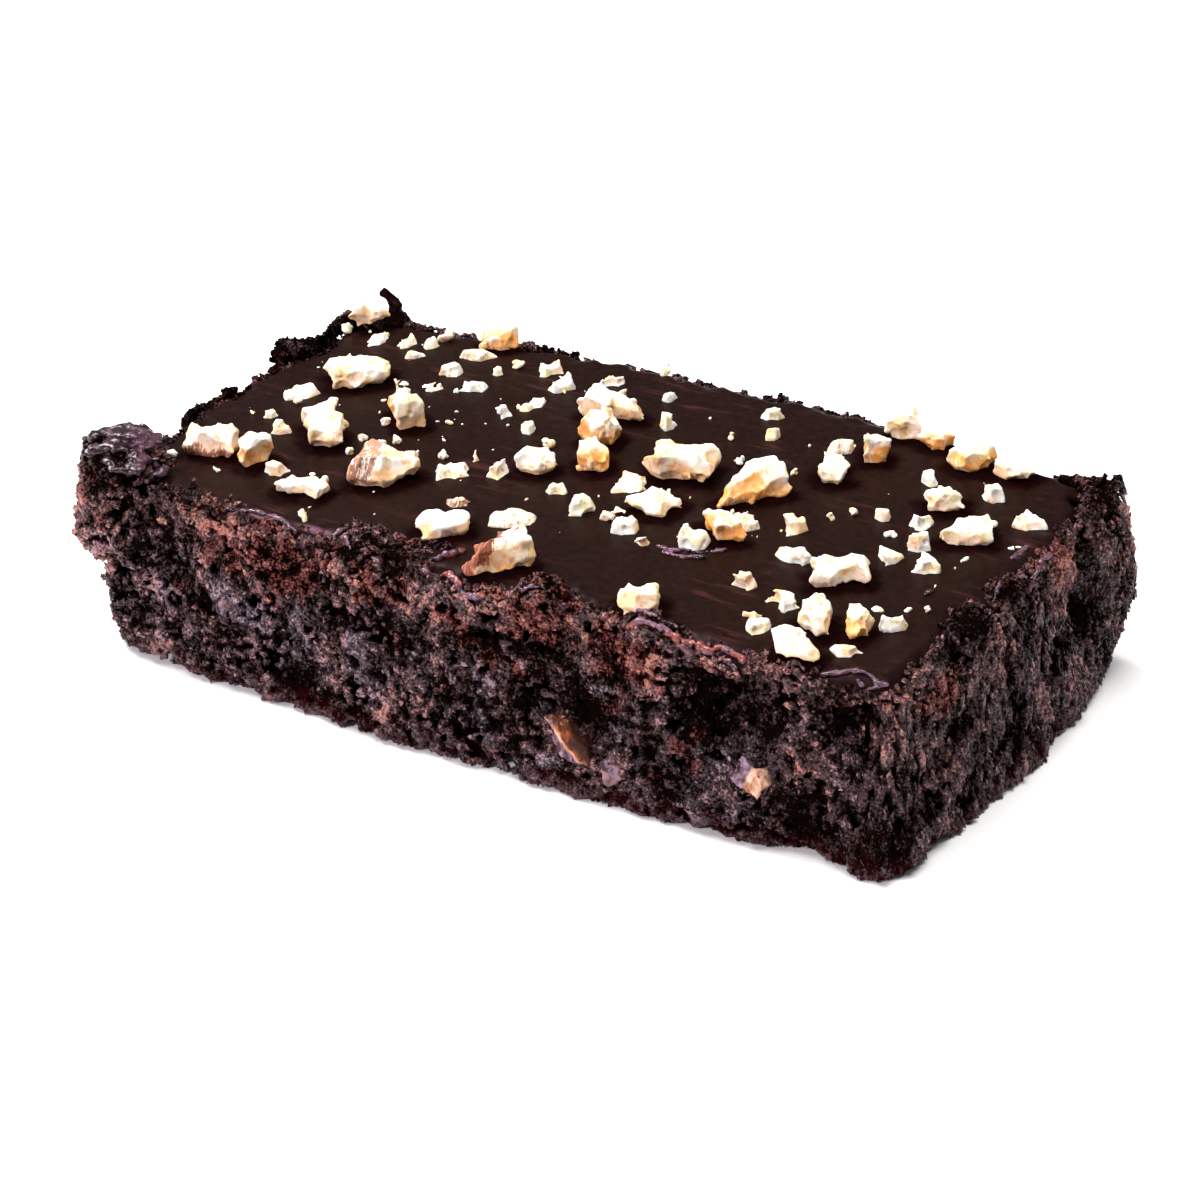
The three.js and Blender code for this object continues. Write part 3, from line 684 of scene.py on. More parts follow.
# The chips with papery skin, and the one whose skin is brown rather than tan.
SKIN_CHIPS = at_height(
    26, (-12.8, -13.8, 2.6, 2.6), (-4, -14.6, 4.2, 4.2), (-36.2, 25.4, 3.4, 3.4), (23, 22.8, 2.6, 2.6),
    (6.6, -7.5, 2.4, 2.4), (-35.4, 1.5, 1.4, 1.4), (-43.6, 28, 2.2, 2.2), (23, -1.8, 2.2, 2.2),
)
BROWN_CHIP = at_height(26, (-12.8, -13.8, 3, 3))


def in_order(points, triangles):
    """The triangles in an order, and each from a corner, that follow from where they lie alone."""
    first = np.argmin(points[triangles] @ SLANT, 1)
    triangles = np.take_along_axis(triangles, (first[:, None] + np.arange(3)) % 3, 1)
    return triangles[np.argsort(points[triangles].mean(1) @ SLANT)]


def chip_mesh():
    """What the icing's solid holds above its level top, as closed bodies: points in mm and triangles."""
    shape = bmesh.new()
    shape.from_mesh(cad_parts["icing"].data)
    bmesh.ops.remove_doubles(shape, verts=shape.verts, dist=1e-7)
    every = shape.verts[:] + shape.edges[:] + shape.faces[:]
    level = (0, 0, CHIP_CUT * MM)
    bmesh.ops.bisect_plane(shape, geom=every, plane_co=level, plane_no=(0, 0, 1), clear_inner=True)
    rim = [edge for edge in shape.edges if edge.is_boundary]
    for part in bmesh.ops.extrude_edge_only(shape, edges=rim)["geom"]:
        if isinstance(part, bmesh.types.BMVert):
            part.co.z = CHIP_FOOT * MM
    bmesh.ops.holes_fill(shape, edges=[edge for edge in shape.edges if edge.is_boundary])
    bmesh.ops.triangulate(shape, faces=shape.faces[:])
    shape.verts.index_update()
    points = np.array([vert.co[:] for vert in shape.verts], np.float32) / MM
    triangles = np.array([[vert.index for vert in face.verts] for face in shape.faces], np.uint32)
    shape.free()
    return points, triangles


def bite(body, places, normals, rng, size, share=0.22):
    """Cuts shallow round hollows at some places of a body's skin."""
    count = len(places)
    radii = size * (0.5 + 1.8 * rng.random(count) ** 2)
    depth = share * np.minimum(radii, size) * rng.uniform(0.4, 1.2, count)
    frames = turned_frames(count, rng, ((0.95, 1.08),) * 3)
    body.balls(places + normals * (radii - depth)[:, None], radii, frames, 0.03, cut=True)


def fracture(body, points, triangles, rng, size, cover, depth=0.22, swell=0.08):
    """Bites hollows that meet in sharp edges out of a body's skin, as where a nut is broken. The size in mm
    is the bites' middling radius, and cover their number for each piece of skin of size by size."""
    a, b, c = (points[triangles[:, k]] for k in range(3))
    area = np.linalg.norm(np.cross(b - a, c - a), axis=1).sum() / 2
    count = int(cover * area / size ** 2)
    body.distance -= np.float32(swell * size)
    bite(body, *scatter_on(points, triangles, count, rng), rng, size, depth)
    body.push(0.8, lambda at: layers(at, *NUT_ROUGHNESS))


def add_crumb(body, x, y, width, rng):
    """Adds one crumb of walnut, as three merged lumps with a few hollows bitten out."""
    lumps, bites = 3, 8
    places = np.array([x, y, ICING_TOP + 0.15 * width]) + rng.normal(0, 0.16 * width, (lumps, 3))
    radii = 0.36 * width * rng.uniform(0.7, 1.1, lumps)
    body.balls(places, radii, turned_frames(lumps, rng, ((0.9, 1.3), (0.6, 1), (0.35, 0.6))), 0.02)
    ways = rng.normal(size=(bites, 3))
    ways /= np.linalg.norm(ways, axis=1)[:, None]
    bite(body, places.mean(0) + ways * 0.36 * width, ways, rng, 0.45 * width)


def add_specks(body, rng):
    """Strews specks of walnut around the crumbs."""
    around = np.array(NUT_CRUMBS)[:, :2]
    spread = around[rng.integers(0, len(around), NUT_SPECKS)] + rng.normal(0, 9, (NUT_SPECKS, 2))
    spread = np.clip(spread, SPECKS_FROM, SPECKS_TO)
    places = np.column_stack([spread, np.full(NUT_SPECKS, ICING_TOP + 0.05)])
    radii = 0.14 + 0.24 * rng.random(NUT_SPECKS) ** 2
    body.balls(places, radii, turned_frames(NUT_SPECKS, rng, ((1.2, 2.2), (0.8, 1.2), (0.5, 0.8))), 0.02)


def make_chips():
    rng = np.random.default_rng(CHIP_SEED)
    points, triangles = chip_mesh()
    low = np.floor((icing_points.min(0) - 1) / CHIP_VOXEL).astype(int)
    low[2] = int((CHIP_FOOT - 1) / CHIP_VOXEL)
    shape = np.ceil((icing_points.max(0) + 1) / CHIP_VOXEL).astype(int) - low
    chips = Field.of_mesh(points, triangles, CHIP_VOXEL, 0.9, low, shape)
    standing = triangles[points[triangles].mean(1)[:, 2] > CHIP_CUT + 0.01]
    fracture(chips, points, in_order(points, standing), rng, 1.1, 0.7, 0.25, 0.14)
    for x, y, width in NUT_CRUMBS:
        add_crumb(chips, x, y, width, rng)
    add_specks(chips, rng)
    points, faces = chips.surface(0.02)
    make_piece("walnut_chips", points, faces, (), WALNUT_MATERIAL, {
        "skin": 0.8 * ramp(spots(points, SKIN_CHIPS), 0.15, 0.4),
        "gold_and_painted_shade": 0.6 * ramp(rough(points, 3.0, 8.0), -0.1, 0.5),
        "tan": 1 - spots(points, BROWN_CHIP),
    })


make_chips()

# Walnuts

NUT_VOXEL = 0.17
NUT_SEED = 399
FLAKES = 5
# For some nuts, by number: the way to the papery skin, how much of the nut it covers, how pale it is, and
# how strongly the nut's lower part takes a yellow-brown painted shade.
NUT_LOOKS = {
    2: ((-0.8, 0.2, 0.5), 0.1, 0.9, 0.35), 3: ((0.2, -0.8, -0.6), 0.35, 0.1, 0.4),
    4: ((0, 0, -1), 0, 1, 0.8), 5: ((0.8, -0.5, -0.5), 0.25, 0.6, 0.8),
    6: ((-0.75, -0.3, 0.4), 0.68, 0.18, 0.5), 8: ((0, 0, -1), 0, 1, 0.6),
    9: ((-0.9, -0.2, 0.3), 0.55, 0, 0.7), 12: ((0, -0.7, -0.7), 0.1, 1, 0.5),
    13: ((0.6, -0.3, 0.6), 0.35, 0.9, 1.1), 14: ((0.3, -0.8, -0.4), 0.15, 0.9, 1.1),
    15: ((0.3, -0.9, -0.3), 0.15, 1, 0.6), 17: ((0.5, -0.8, -0.5), 0.2, 0.8, 1.2),
    18: ((0.2, -0.8, 0.2), 0.2, 0.8, 1.1), 19: ((0.4, -0.8, -0.2), 0.2, 0.8, 1.3),
    20: ((0, 0, -1), 0, 1, 0.4), 21: ((0, 0.7, 0.7), 0.4, 1, 0.2), 22: ((0, 0, -1), 0, 1, 1.1),
    23: ((0, -0.7, -0.7), 0.2, 0.8, 1.2), 24: ((0, 0.8, 0.3), 0.35, 1, 0.5),
    26: ((0, -0.7, -0.7), 0.1, 1, 0.4), 29: ((0, 0, -1), 0, 1, 0.8), 31: ((0, -0.7, -0.7), 0.1, 0.9, 1.1),
    32: ((0, 0, -1), 0, 1, 0.4),
}
PLAIN_LOOK = ((0, 0, -1), 0, 1, 0.3)
BAKED_SEED = 500
# For each baked nut: the way to its papery side, how much skin lies on the rest of it, how cream its flesh
# is, and how many mm from its middle, away from that side, it has faded into painted shade.
BAKED_LOOKS = [
    ((-0.68, 0, -0.74), 0, 0, 2), ((0, 0, 1), 0.75, 0.3, 3), ((-1, 0, 0.2), 0, 1, 6),
    ((0, 0, -1), 0.8, 0.4, 3),
]


def make_nut(number, name):
    """A chopped walnut on the icing, with flakes, broken faces, and skin and a yellow-brown painted shade
    low down as its looks say.
    """
    solid_points, solid_triangles = node_mesh(name)
    low, high = solid_points.min(0), solid_points.max(0)
    nut = Field.of_mesh(solid_points, solid_triangles, NUT_VOXEL, 1.0)
    rng = np.random.default_rng(NUT_SEED + number)
    places, _ = scatter_on(solid_points, solid_triangles, FLAKES, rng)
    radii = rng.uniform(0.4, 0.8, FLAKES)
    nut.balls(places, radii, turned_frames(FLAKES, rng, ((0.9, 1.3), (0.7, 1), (0.4, 0.6))), 0.05)
    fracture(nut, solid_points, solid_triangles, rng, np.clip(0.24 * (high - low).max(), 0.9, 2), 0.9)
    points, faces = largest_body(*nut.surface(0.02))
    toward, share, tan, gold_and_painted_shade = NUT_LOOKS.get(number, PLAIN_LOOK)
    middle, half = (low + high) / 2, (high - low) / 2
    facing = ((points - middle) / half) @ (np.array(toward) / np.linalg.norm(toward))
    mottle = 0.4 * rough(points, 1.6, 2.2)
    skin = ramp(facing + mottle, 0.8 - 1.3 * share, 1.2 - 1.3 * share) if share else np.zeros(len(points))
    lowness = 1 - (points[:, 2] - low[2]) / (high[2] - low[2])
    # Painted shade in yellow-brown, strongest on the nut's lower part.
    lower_painted_shade = min(gold_and_painted_shade + 0.3, 1.3) * ramp(lowness + 0.45 * rough(points, 2.2, 7.7), 0.05, 0.65)
    looks = {"skin": skin * (1 - 0.4 * min(3 * tan, 1)), "gold_and_painted_shade": lower_painted_shade, "tan": tan}
    piece = name.replace("walnut_", "chopped_walnut_")
    make_piece(piece, points, faces, [name], WALNUT_MATERIAL, looks)


def make_baked_nut(number, name):
    """A walnut that shows in the torn crumb: papery on one side, with a painted highlight along that side's
    edge, and painted shade on the other.
    """
    solid_points, solid_triangles = node_mesh(name)
    nut = Field.of_mesh(solid_points, solid_triangles, NUT_VOXEL, 1.0)
    fracture(nut, solid_points, solid_triangles, np.random.default_rng(BAKED_SEED + number), 1.2, 1.0)
    points, faces = nut.surface(0.02)
    toward, least, cream_and_painted_highlight, fade = BAKED_LOOKS[number]
    middle = (solid_points.min(0) + solid_points.max(0)) / 2
    offset = (points - middle) @ np.array(toward) + 0.25 * rough(points, 1.6, 3.0)
    # Painted shade, growing away from the papery side.
    dim_and_painted_shade = 0.9 * ramp(-offset + 0.5 * rough(points, 1.2, 5.0), 0.2 * fade, fade)
    looks = {
        "skin": np.maximum(ramp(offset, 0, 0.4), least),
        # Painted highlight: a thin pale line where the papery side begins.
        "cream_and_painted_highlight": np.maximum(cream_and_painted_highlight, 0.8 * np.exp(-((offset / 0.3) ** 2))),
        "dim_and_painted_shade": np.maximum(dim_and_painted_shade, least * (0.4 + 0.5 * rough(points, 0.8, 4.0))),
    }
    piece = name.replace("baked_walnut_", "sunk_walnut_")
    make_piece(piece, points, faces, [name], BAKED_MATERIAL, looks)


for number, name in enumerate(NUTS, 1):
    make_nut(number, name)
for number, name in enumerate(BAKED):
    make_baked_nut(number, name)

# The crumb

CRUMB_VOXEL = 0.38
CRUMB_REACH = 2.6
CRUMB_SEED = 11
HOLLOWS = 190
PORES = 1600
GRANULES = 15000
MOST_TRIANGLES = 196000
# The curl on the rim lies left of this place and behind it.
CURL_CORNER = (-50, 27)
# Where the rim around the icing is worn low, knobs of crumb stand on it.
KNOB_HEIGHT = 26
KNOBS = at_height(
    KNOB_HEIGHT, (-59.2, -7.1, 1.7, 1.7), (-58.9, -2.4, 1.2, 1.2), (-58, 3.1, 1.5, 1.5),
    (-61, 13.6, 2.8, 2.8), (-60, 25, 4, 2.5), (-27.6, 31, 2, 2), (-23.4, 31, 1.8, 2), (5.6, 31, 2.2, 2),
    (11.4, 31, 1.8, 2),
)
# How high above the icing the crown lies where the rim isn't worn: above all of it.
UNWORN = 6
# The line of the icing's lip along the front: x and y.
LIP = np.array([
    (-48, -28.4), (-42.9, -28.7), (-38.4, -28.9), (-35.9, -28.2), (-32.7, -28.1), (-29.9, -28.6),
    (-27, -29.2), (-23.9, -30.1), (-21.4, -27.6), (-20.2, -28.8), (-17.8, -30.6), (-15.6, -31.9),
    (-12, -32.2), (30, -32.4), (35.7, -31.2), (39, -30.5), (43.1, -31.1), (46.7, -31), (49.9, -30.1),
    (51.4, -28.9), (54.6, -28.7), (58, -29.2), (59.5, -27),
])
# Patches of drier, redder crumb.
RUST = on_front(
    (-31, 20, 11, 4.4), (-12, 22, 6, 4), (10, 23, 4, 4), (8, 14, 2.4, 2.4), (24, 20, 5, 4),
    (33, 12, 3, 3), (52, 19.4, 4, 2.6), (22, 13, 3, 2), (0, 19, 4, 2.4), (4, 16.4, 3, 2),
) + [(-62, -29, 23, 5, 4), (-58, -27, 22, 4, 4), (60, -20, 21, 4, 3.4), (62, 12, 24, 3, 4)]
# Spots of painted shade, where whole patches of the crumb are painted dark, and spots of painted light,
# where it is painted lighter.
PAINTED_SHADE_SPOTS = on_front(
    (36.4, 17, 7, 4.4), (5, 19, 4, 2.4), (10.2, 12.3, 3.4, 2.4), (18, 11, 4, 2.6), (-44, 11.4, 3, 2),
    (-51, 16, 3, 2), (-31, 4.4, 4, 2), (-21.3, 2.5, 5, 2), (48, 4, 3, 3), (-38, 17, 3, 2),
    (-8, 17, 4, 2.4), (27, 5, 3, 2), (58, 3, 6, 5),
) + [
    (54.5, -30, 22, 4, 2.6), (60, -2, 7, 6, 3), (60, -15, 14, 4, 3), (60, 18, 12, 6, 4), (60, 8, 19, 4, 2),
]
PAINTED_LIGHT_SPOTS = on_front(
    (48.4, 23, 2, 2.4), (48.4, 19, 1.8, 2.6), (-50.7, 12.7, 4, 2.4), (-42.8, 16, 3, 1.8), (4.8, 12, 3, 2),
    (-4.4, 15.4, 3, 2), (-35, 12.3, 4, 2), (-27, 10, 4, 2), (13.4, 9.2, 3, 2), (-14, 9.4, 6, 2.4),
    (-63, 21, 6, 6), (-13, 22, 3, 1.6), (0, 23.6, 3, 1.4),
) + [(-58, -29, 26, 4, 4)]
# Places high on the side with painted violet glints.
GLEAMS = on_front((48.4, 21, 1.6, 4), (-3, 22.6, 3.4, 1.6), (30, 22, 5, 2)) + [(-59, -30.5, 24, 3.4, 2.4)]

crumb_points, crumb_triangles = node_mesh("crumb")
crumb = Field.of_mesh(crumb_points, crumb_triangles, CRUMB_VOXEL, CRUMB_REACH)
beside = Field.of_mesh(icing_points, icing_triangles, CRUMB_VOXEL, 1.8, crumb.low, crumb.distance.shape)


def by_curl(points):
    return (points[:, 0] < CURL_CORNER[0]) & (points[:, 1] > CURL_CORNER[1])


def crumb_push(points):
    """How far the crumb moves outwards: clumps, lumps and ridges, drawn out upright on the right side."""
    right = ramp(points[:, 0], 52, 57)
    drawn = points.copy()
    drawn[:, 1] += 0.35 * right * drawn[:, 2]
    drawn[:, 2] /= 1 + 1.6 * right
    ridges = 0.5 - np.abs(rough(drawn, 1.3, 7.0)) * 1.4
    curl = ramp(points[:, 2], 25.5, 27) * by_curl(points)
    push = layers(drawn, (0.8, 4.2, 1.0), (0.6, 2.1, 4.0)) + 0.55 * ridges
    return push * (1 - 0.3 * right) * (1 - 0.9 * curl) - 0.25 * curl


def leaning(frames, places):
    """Half-axes made long and leaning on the slab's cut right side, where the crumb is drawn out."""
    drawn = (places[:, 0] > 54) & (places[:, 2] < 21)
    frames[drawn] *= 0.75
    frames[drawn, :, 2] *= 2.8
    frames[drawn, :, 1] -= 0.35 * frames[drawn, :, 2]
    return frames


def side_weight(middle, normal):
    """The crumb's skin without its base, the bed of the icing and the curl."""
    clear = beside.sample(middle) > 0.6
    under = (normal[:, 2] < -0.9) & (middle[:, 2] < 0.5)
    curl = (middle[:, 2] > 26) & by_curl(middle)
    return np.where(clear & ~under & ~curl, 1.0, 0.0)


def crown(points):
    """How high the rim may stand at some points: low on the left, at the back and along the icing's lip."""
    x, y = points[:, 0], points[:, 1]
    left = (1 - ramp(x, -55, -53)) * ramp(y, -21, -17) * (1 - ramp(y, 25, 28))
    back = ramp(y, 24, 27) * ramp(x, -33, -28) * (1 - ramp(x, 51, 55))
    level = points * np.array([1, 1, 0], np.float32) + np.array([0, 0, KNOB_HEIGHT], np.float32)
    before = np.interp(x, LIP[:, 0], LIP[:, 1]) + 0.3 - y
    along_left = ramp(x, -50, -46) * (1 - ramp(x, -16, -11))
    along_right = ramp(x, 37, 41) * (1 - ramp(x, 57, 60))
    front = ramp(before, -0.3, 0.1) * np.maximum(along_left, along_right)
    fall = 0.4 + 0.4 * np.maximum(before, 0) - 0.7 * rough(points.astype(np.float32), 1.8, 4.0)
    low = np.maximum(np.maximum(left, back), front)
    return ICING_TOP - 0.9 * back - fall * front + 2.6 * spots(level, KNOBS) + UNWORN * (1 - low)


def granule_weight(middle, normal):
    """The crumb's torn skin below its crown, and all of the front."""
    return side_weight(middle, normal) * ((middle[:, 2] < crown(middle) - 0.2) | (middle[:, 1] < -24))


def cut_hollows(rng):
    places, normals = scatter_on(crumb_points, crumb_triangles, HOLLOWS, rng, side_weight)
    radii = rng.uniform(0.8, 2.0, HOLLOWS)
    frames = upright_frames(HOLLOWS, rng, (0.8, 1.4), rng.uniform(0.6, 1.2, HOLLOWS))
    sunk = radii * rng.uniform(-0.2, 0.3, HOLLOWS)
    crumb.balls(places - normals * sunk[:, None], radii, frames, 0.4, cut=True)


def roughen():
    """Pushes the crumb's skin about, except where it touches the icing."""
    open_air = ramp(beside.distance, 0.5, 1.2)
    mask = (np.abs(crumb.distance) < CRUMB_REACH - 0.3) & (open_air > 0)
    crumb.distance[mask] -= crumb_push(crumb.points(mask)) * open_air[mask]


def cut_pores(rng):
    places, normals = scatter_on(crumb_points, crumb_triangles, PORES, rng, side_weight)
    radii = 0.35 + 0.9 * rng.random(PORES) ** 2.2
    frames = upright_frames(PORES, rng, (0.8, 1.3), np.where(places[:, 0] > 55, 1.7, 0.9))
    sunk = radii * rng.uniform(-0.3, 0.6, PORES)
    crumb.balls(places - normals * sunk[:, None], radii, frames, 0.2, cut=True)


def wear_rim():
    mask = (crumb.distance < 1.5) & (crumb.heights() > ICING_TOP - 2)
    places = crumb.points(mask)
    crumb.distance[mask] = np.maximum(crumb.distance[mask], places[:, 2] - crown(places))


def add_granules(rng):
    places, normals = scatter_on(crumb_points, crumb_triangles, GRANULES, rng, granule_weight)
    places[:, 2] = np.minimum(places[:, 2], crown(places))
    radii = 0.26 + 0.4 * rng.random(GRANULES) ** 2.2
    frames = leaning(upright_frames(GRANULES, rng, (0.8, 1.2), 1.0), places)
    proud = radii * rng.uniform(-0.4, 0.5, GRANULES)
    crumb.balls(places + normals * proud[:, None], radii, frames, 0.15)


def tear_crumb():
    """Makes the crumb's torn skin, then trims it off the icing and off the floor."""
    rng = np.random.default_rng(CRUMB_SEED)
    cut_hollows(rng)
    roughen()
    cut_pores(rng)
    wear_rim()
    add_granules(rng)
    crumb.distance = np.maximum(crumb.distance, 0.05 - beside.distance)
    crumb.distance = np.maximum(crumb.distance, -crumb.heights()).astype(np.float32)


tear_crumb()
body_points, body_faces = largest_body(*crumb.surface(0.01))
body_points, body_faces = fewer_faces(body_points, body_faces, MOST_TRIANGLES)
near_blur, far_blur = crumb.blurred(2), crumb.blurred(6)


def relief(points):
    """How far some points stand out from the crumb around them, near and far."""
    return near_blur.sample(points) / CRUMB_VOXEL + 0.5 * far_blur.sample(points)


relief_low, relief_high = np.percentile(relief(body_points[body_points[:, 2] > 1]), (4, 96))


def cavity_at(points):
    """How proud the torn crumb is at some points: 0 in its hollows, 1 on its tips."""
    return np.clip((relief(points) - relief_low) / (relief_high - relief_low), 0, 1)


def rust_at(points):
    """How much the crumb at some points is of the drier, redder kind."""
    upper = 0.18 * ramp(points[:, 2], 16, 21)
    patches = spots(points, RUST) + upper + 0.5 * rough(points, 3.0, 6.0) + 0.5 * rough(points, 1.2, 2.0)
    return ramp(patches, 0.4, 0.9)


def crumb_looks(points, tone):
    """The values that the crumb's material reads, from a tone of about 0 to 1 for each point, with painted
    shade and painted light worked into the tone.
    """
    points = points.astype(np.float32)
    rim = ramp(points[:, 2], 23, 26)
    foot = (1 - ramp(points[:, 2] + 0.9 * rough(points, 1.5, 2.5), 1, 4)) * 0.7
    low_rim_shade = ramp(ICING_TOP + 5 - crown(points), 0, 2) * rim * ramp(points[:, 1], -26, -22)
    right = ramp(points[:, 0], 54, 57)
    low = 1 - ramp(points[:, 2] + 2 * rough(points, 6.0, 2.0), 14, 22)
    broad = layers(points, (0.8, 5, 3.5), (0.8, 2.4, 1.5))
    # Painted shade along the top rim, more on the right side, and at the painted shade spots; painted light
    # at the painted light spots.
    tone = tone - 0.4 * rim * (1 + right) - 0.9 * spots(points, PAINTED_SHADE_SPOTS) + 0.4 * spots(points, PAINTED_LIGHT_SPOTS)
    # More painted shade along the rim where it is worn low.
    tone = tone + 0.6 * broad - 0.2 * foot - 0.8 * low_rim_shade + 0.08 * right
    tone -= 0.08 * low + 0.1 * (1 - low)
    # Violet low on the sides, and strongly at the spots of painted violet glints.
    violet_tint_and_glint = np.maximum(low * (1 - 0.6 * ramp(points[:, 0], 52, 56)), 0.9 * spots(points, GLEAMS))
    return {"cavity": cavity_at(points), "rust": rust_at(points), "tone": tone, "foot": foot, "violet_tint_and_glint": violet_tint_and_glint}


body_looks = crumb_looks(body_points, 0.5 + 0.5 * rough(body_points, 0.9, 3.0))
make_piece("crumb_body", body_points, body_faces, ["crumb"], CRUMB_MATERIAL, body_looks)

# Wrinkles of icing: rolled ridges, and thin folds along the lip and between the nuts

WRINKLE_VOXEL = 0.16
WRINKLE_SEED = 77
WRINKLE_ROUGHNESS = ((0.2, 1.1, 2.0), (0.09, 0.5, 5.0))
# Lines over the icing, and the least and greatest radius of the ridges along them.
RIDGES = [
    [(24.2, -31.4), (27, -30.6), (31, -31.2), (34, -30.8), (36.2, -29.7), (39.5, -30.5), (43.2, -31.6),
     (46, -31.6)],
    [(31, -30.4), (33.4, -30), (35.6, -30.4)], [(37.6, -31), (40.4, -31.4), (42.6, -32.2)],
    [(-8.2, -29.6), (-5.6, -27.2), (-4.4, -24.4)],
    [(-6.6, -30.8), (-3.4, -29.6), (-0.6, -30.8), (3, -31.8)],
]
RIDGE_RADII = (0.24, 0.42)
FOLDS = [
    [(-58, -21.5), (-55.3, -24.4), (-50.9, -27.1), (-47.5, -28.4)], LIP[1:8], LIP[8:13],
    [(-22.6, -28.4), (-21.6, -26.6), (-20.7, -24.9), (-19, -24.6)],
    [(-21.9, -28.6), (-20.8, -27), (-20, -25.6)], [(-13.6, -31.8), (-9.2, -32.4), (-6.3, -33)],
    [(45.8, -29.1), (48.6, -29.7), (51.1, -29.4), (53.2, -28.3), (55.7, -28), (58.1, -29.2)],
    [(54.6, -29.2), (56.4, -29.6), (58, -28.4), (59.4, -27)], [(61, -27.2), (60.4, -25.2), (60.2, -23.2)],
    [(59.6, -18.4), (59.1, -16.6), (58.3, -14)], [(58, -10.4), (57.5, -8.8), (57.3, -7)],
    [(59.4, -4.8), (59.3, -2.4), (59, -0.3)], [(59.8, 1.2), (60.3, 4), (60.6, 6.6), (60.5, 9.6)],
    [(6.2, -30.8), (9, -31), (12, -30.4)], [(24, -29), (28, -29.6), (32, -29.2)],
    [(16.4, -11.9), (18.6, -12.2), (20.4, -11.6)], [(19.6, -11), (22, -11), (24.6, -8.6)],
    [(17.8, -13), (21, -12.8), (23.4, -11.4)], [(52, -7.6), (52.2, -5.6)], [(57, 6), (57.2, 10)],
]
FOLD_RADII = (0.12, 0.22)


def top_at(field, x, y):
    """The height in mm of a field's highest surface at a place, or 0 where the field holds none."""
    i, j = np.rint(np.array([x, y]) / field.voxel).astype(int) - field.low[:2]
    column = field.distance[i, j]
    inside = np.flatnonzero(column < 0)
    if not len(inside):
        return 0
    k = inside[-1]
    share = column[k] / (column[k] - column[k + 1]) if k + 1 < len(column) else 0
    return (k + share + field.low[2]) * field.voxel


def lay_along(field, bases, lines, radii_between, spacing, flat, rng):
    """Adds rounded ridges along some lines to a field, on top of the highest of some fields' surfaces."""
    for line in lines:
        places = along([(x, y, 0) for x, y in line], spacing, 0.08, rng)
        places[:, 2] = [max(top_at(base, x, y) for base in bases) for x, y, _ in places]
        places[:, 2] = np.convolve(np.pad(places[:, 2], 2, "edge"), np.full(5, 0.2), "valid") + 0.15
        swelling = 0.75 + 0.5 * np.sin(np.arange(len(places)) * 0.9) ** 2
        radii = rng.uniform(*radii_between, len(places)) * swelling
        field.balls(places, radii, upright_frames(len(places), rng, (0.9, 1.4), flat), 0.15)


wrinkles = Field.empty((-65, -36, ICING_TOP - 3), (65, 20, ICING_TOP + 3.4), WRINKLE_VOXEL, 1.2)


def make_wrinkles():
    rng = np.random.default_rng(WRINKLE_SEED)
    lay_along(wrinkles, (icing, crumb), RIDGES, RIDGE_RADII, 0.3, 1.2, rng)
    lay_along(wrinkles, (icing, crumb), FOLDS, FOLD_RADII, 0.2, 0.9, rng)
    wrinkles.push(0.9, lambda at: layers(at, *WRINKLE_ROUGHNESS))
    points, faces = wrinkles.surface(0.01)
    ridge_spots = [(x, y, ICING_TOP, 2.2, 1.2) for line in RIDGES for x, y in line]
    smear = ramp(spots(points, ridge_spots), 0.35, 0.6) * ramp(rough(points, 1.5, 4.0), -0.7, 0)
    # A painted violet sheen on the folds, in patches, but not on the smears.
    painted_violet_sheen = (1 - smear) * ramp(rough(points, 1.2, 1.0), -0.6, 0.5)
    looks = {"edge": 1, "smear": smear, "painted_violet_sheen": painted_violet_sheen, "shade": 0, "wrinkled": 1}
    make_piece("icing_wrinkles", points, faces, (), ICING_MATERIAL, looks)


make_wrinkles()

# Icing smeared over the corner lump and over the curl

DRAPE_VOXEL = 0.2
DRAPE_RADII = (0.9, 1.4)
DRAPE_ROUGHNESS = ((0.35, 2.0, 2.0), (0.16, 0.7, 5.0))
DRAPES = [
    [(-62.4, -26.6), (-61, -25.2), (-59.2, -24.2), (-57, -23.6), (-55, -23.6)],
    [(-61.6, -28.2), (-60, -27), (-58.4, -26.4), (-56.6, -25.6), (-54.4, -25.2)],
    [(-60, -29.6), (-58.4, -28.6), (-56.4, -28.2), (-54.2, -27.4)],
    [(-53.4, -24), (-52.6, -25.6), (-52.4, -27.6)], [(-57.6, -30), (-55.8, -29.8), (-53.8, -29)],
]
CURL_PATH = [(-54.4, 30.8, 24.4), (-54.5, 31, 26), (-55, 31.4, 27.4), (-56.6, 31.6, 28.6)]
# Heights on the curl, and how thick it is there.
CURL_HEIGHTS, CURL_RADII = (24.4, 26.4, 27.6, 28.6), (1.8, 0.85, 0.6, 0.8)
CURL_ROUGHNESS = ((0.35, 1.2, 2.0), (0.15, 0.5, 4.0))


def corner_drape(rng):
    """The coat of icing on the corner lump: points and faces."""
    drape = Field.empty((-68, -36, 18), (-46, -18, 34), DRAPE_VOXEL, 2)
    lay_along(drape, (crumb,), DRAPES, DRAPE_RADII, 0.4, 0.4, rng)
    drape.push(1.2, lambda at: layers(at, *DRAPE_ROUGHNESS) - 0.05)
    return drape.surface(0.01)


def curl_coat(rng):
    """The icing on the curl at the back-left rim: points and faces."""
    curl = Field.empty((-61, 26, 20), (-50, 35, 33), DRAPE_VOXEL, 2)
    places = along(CURL_PATH, 0.3, 0.05, rng)
    radii = np.interp(places[:, 2], CURL_HEIGHTS, CURL_RADII)
    curl.balls(places, radii, upright_frames(len(places), rng, (0.9, 1.1), 1.0), 0.4)
    curl.push(1.2, lambda at: layers(at, *CURL_ROUGHNESS))
    return curl.surface(0.01)


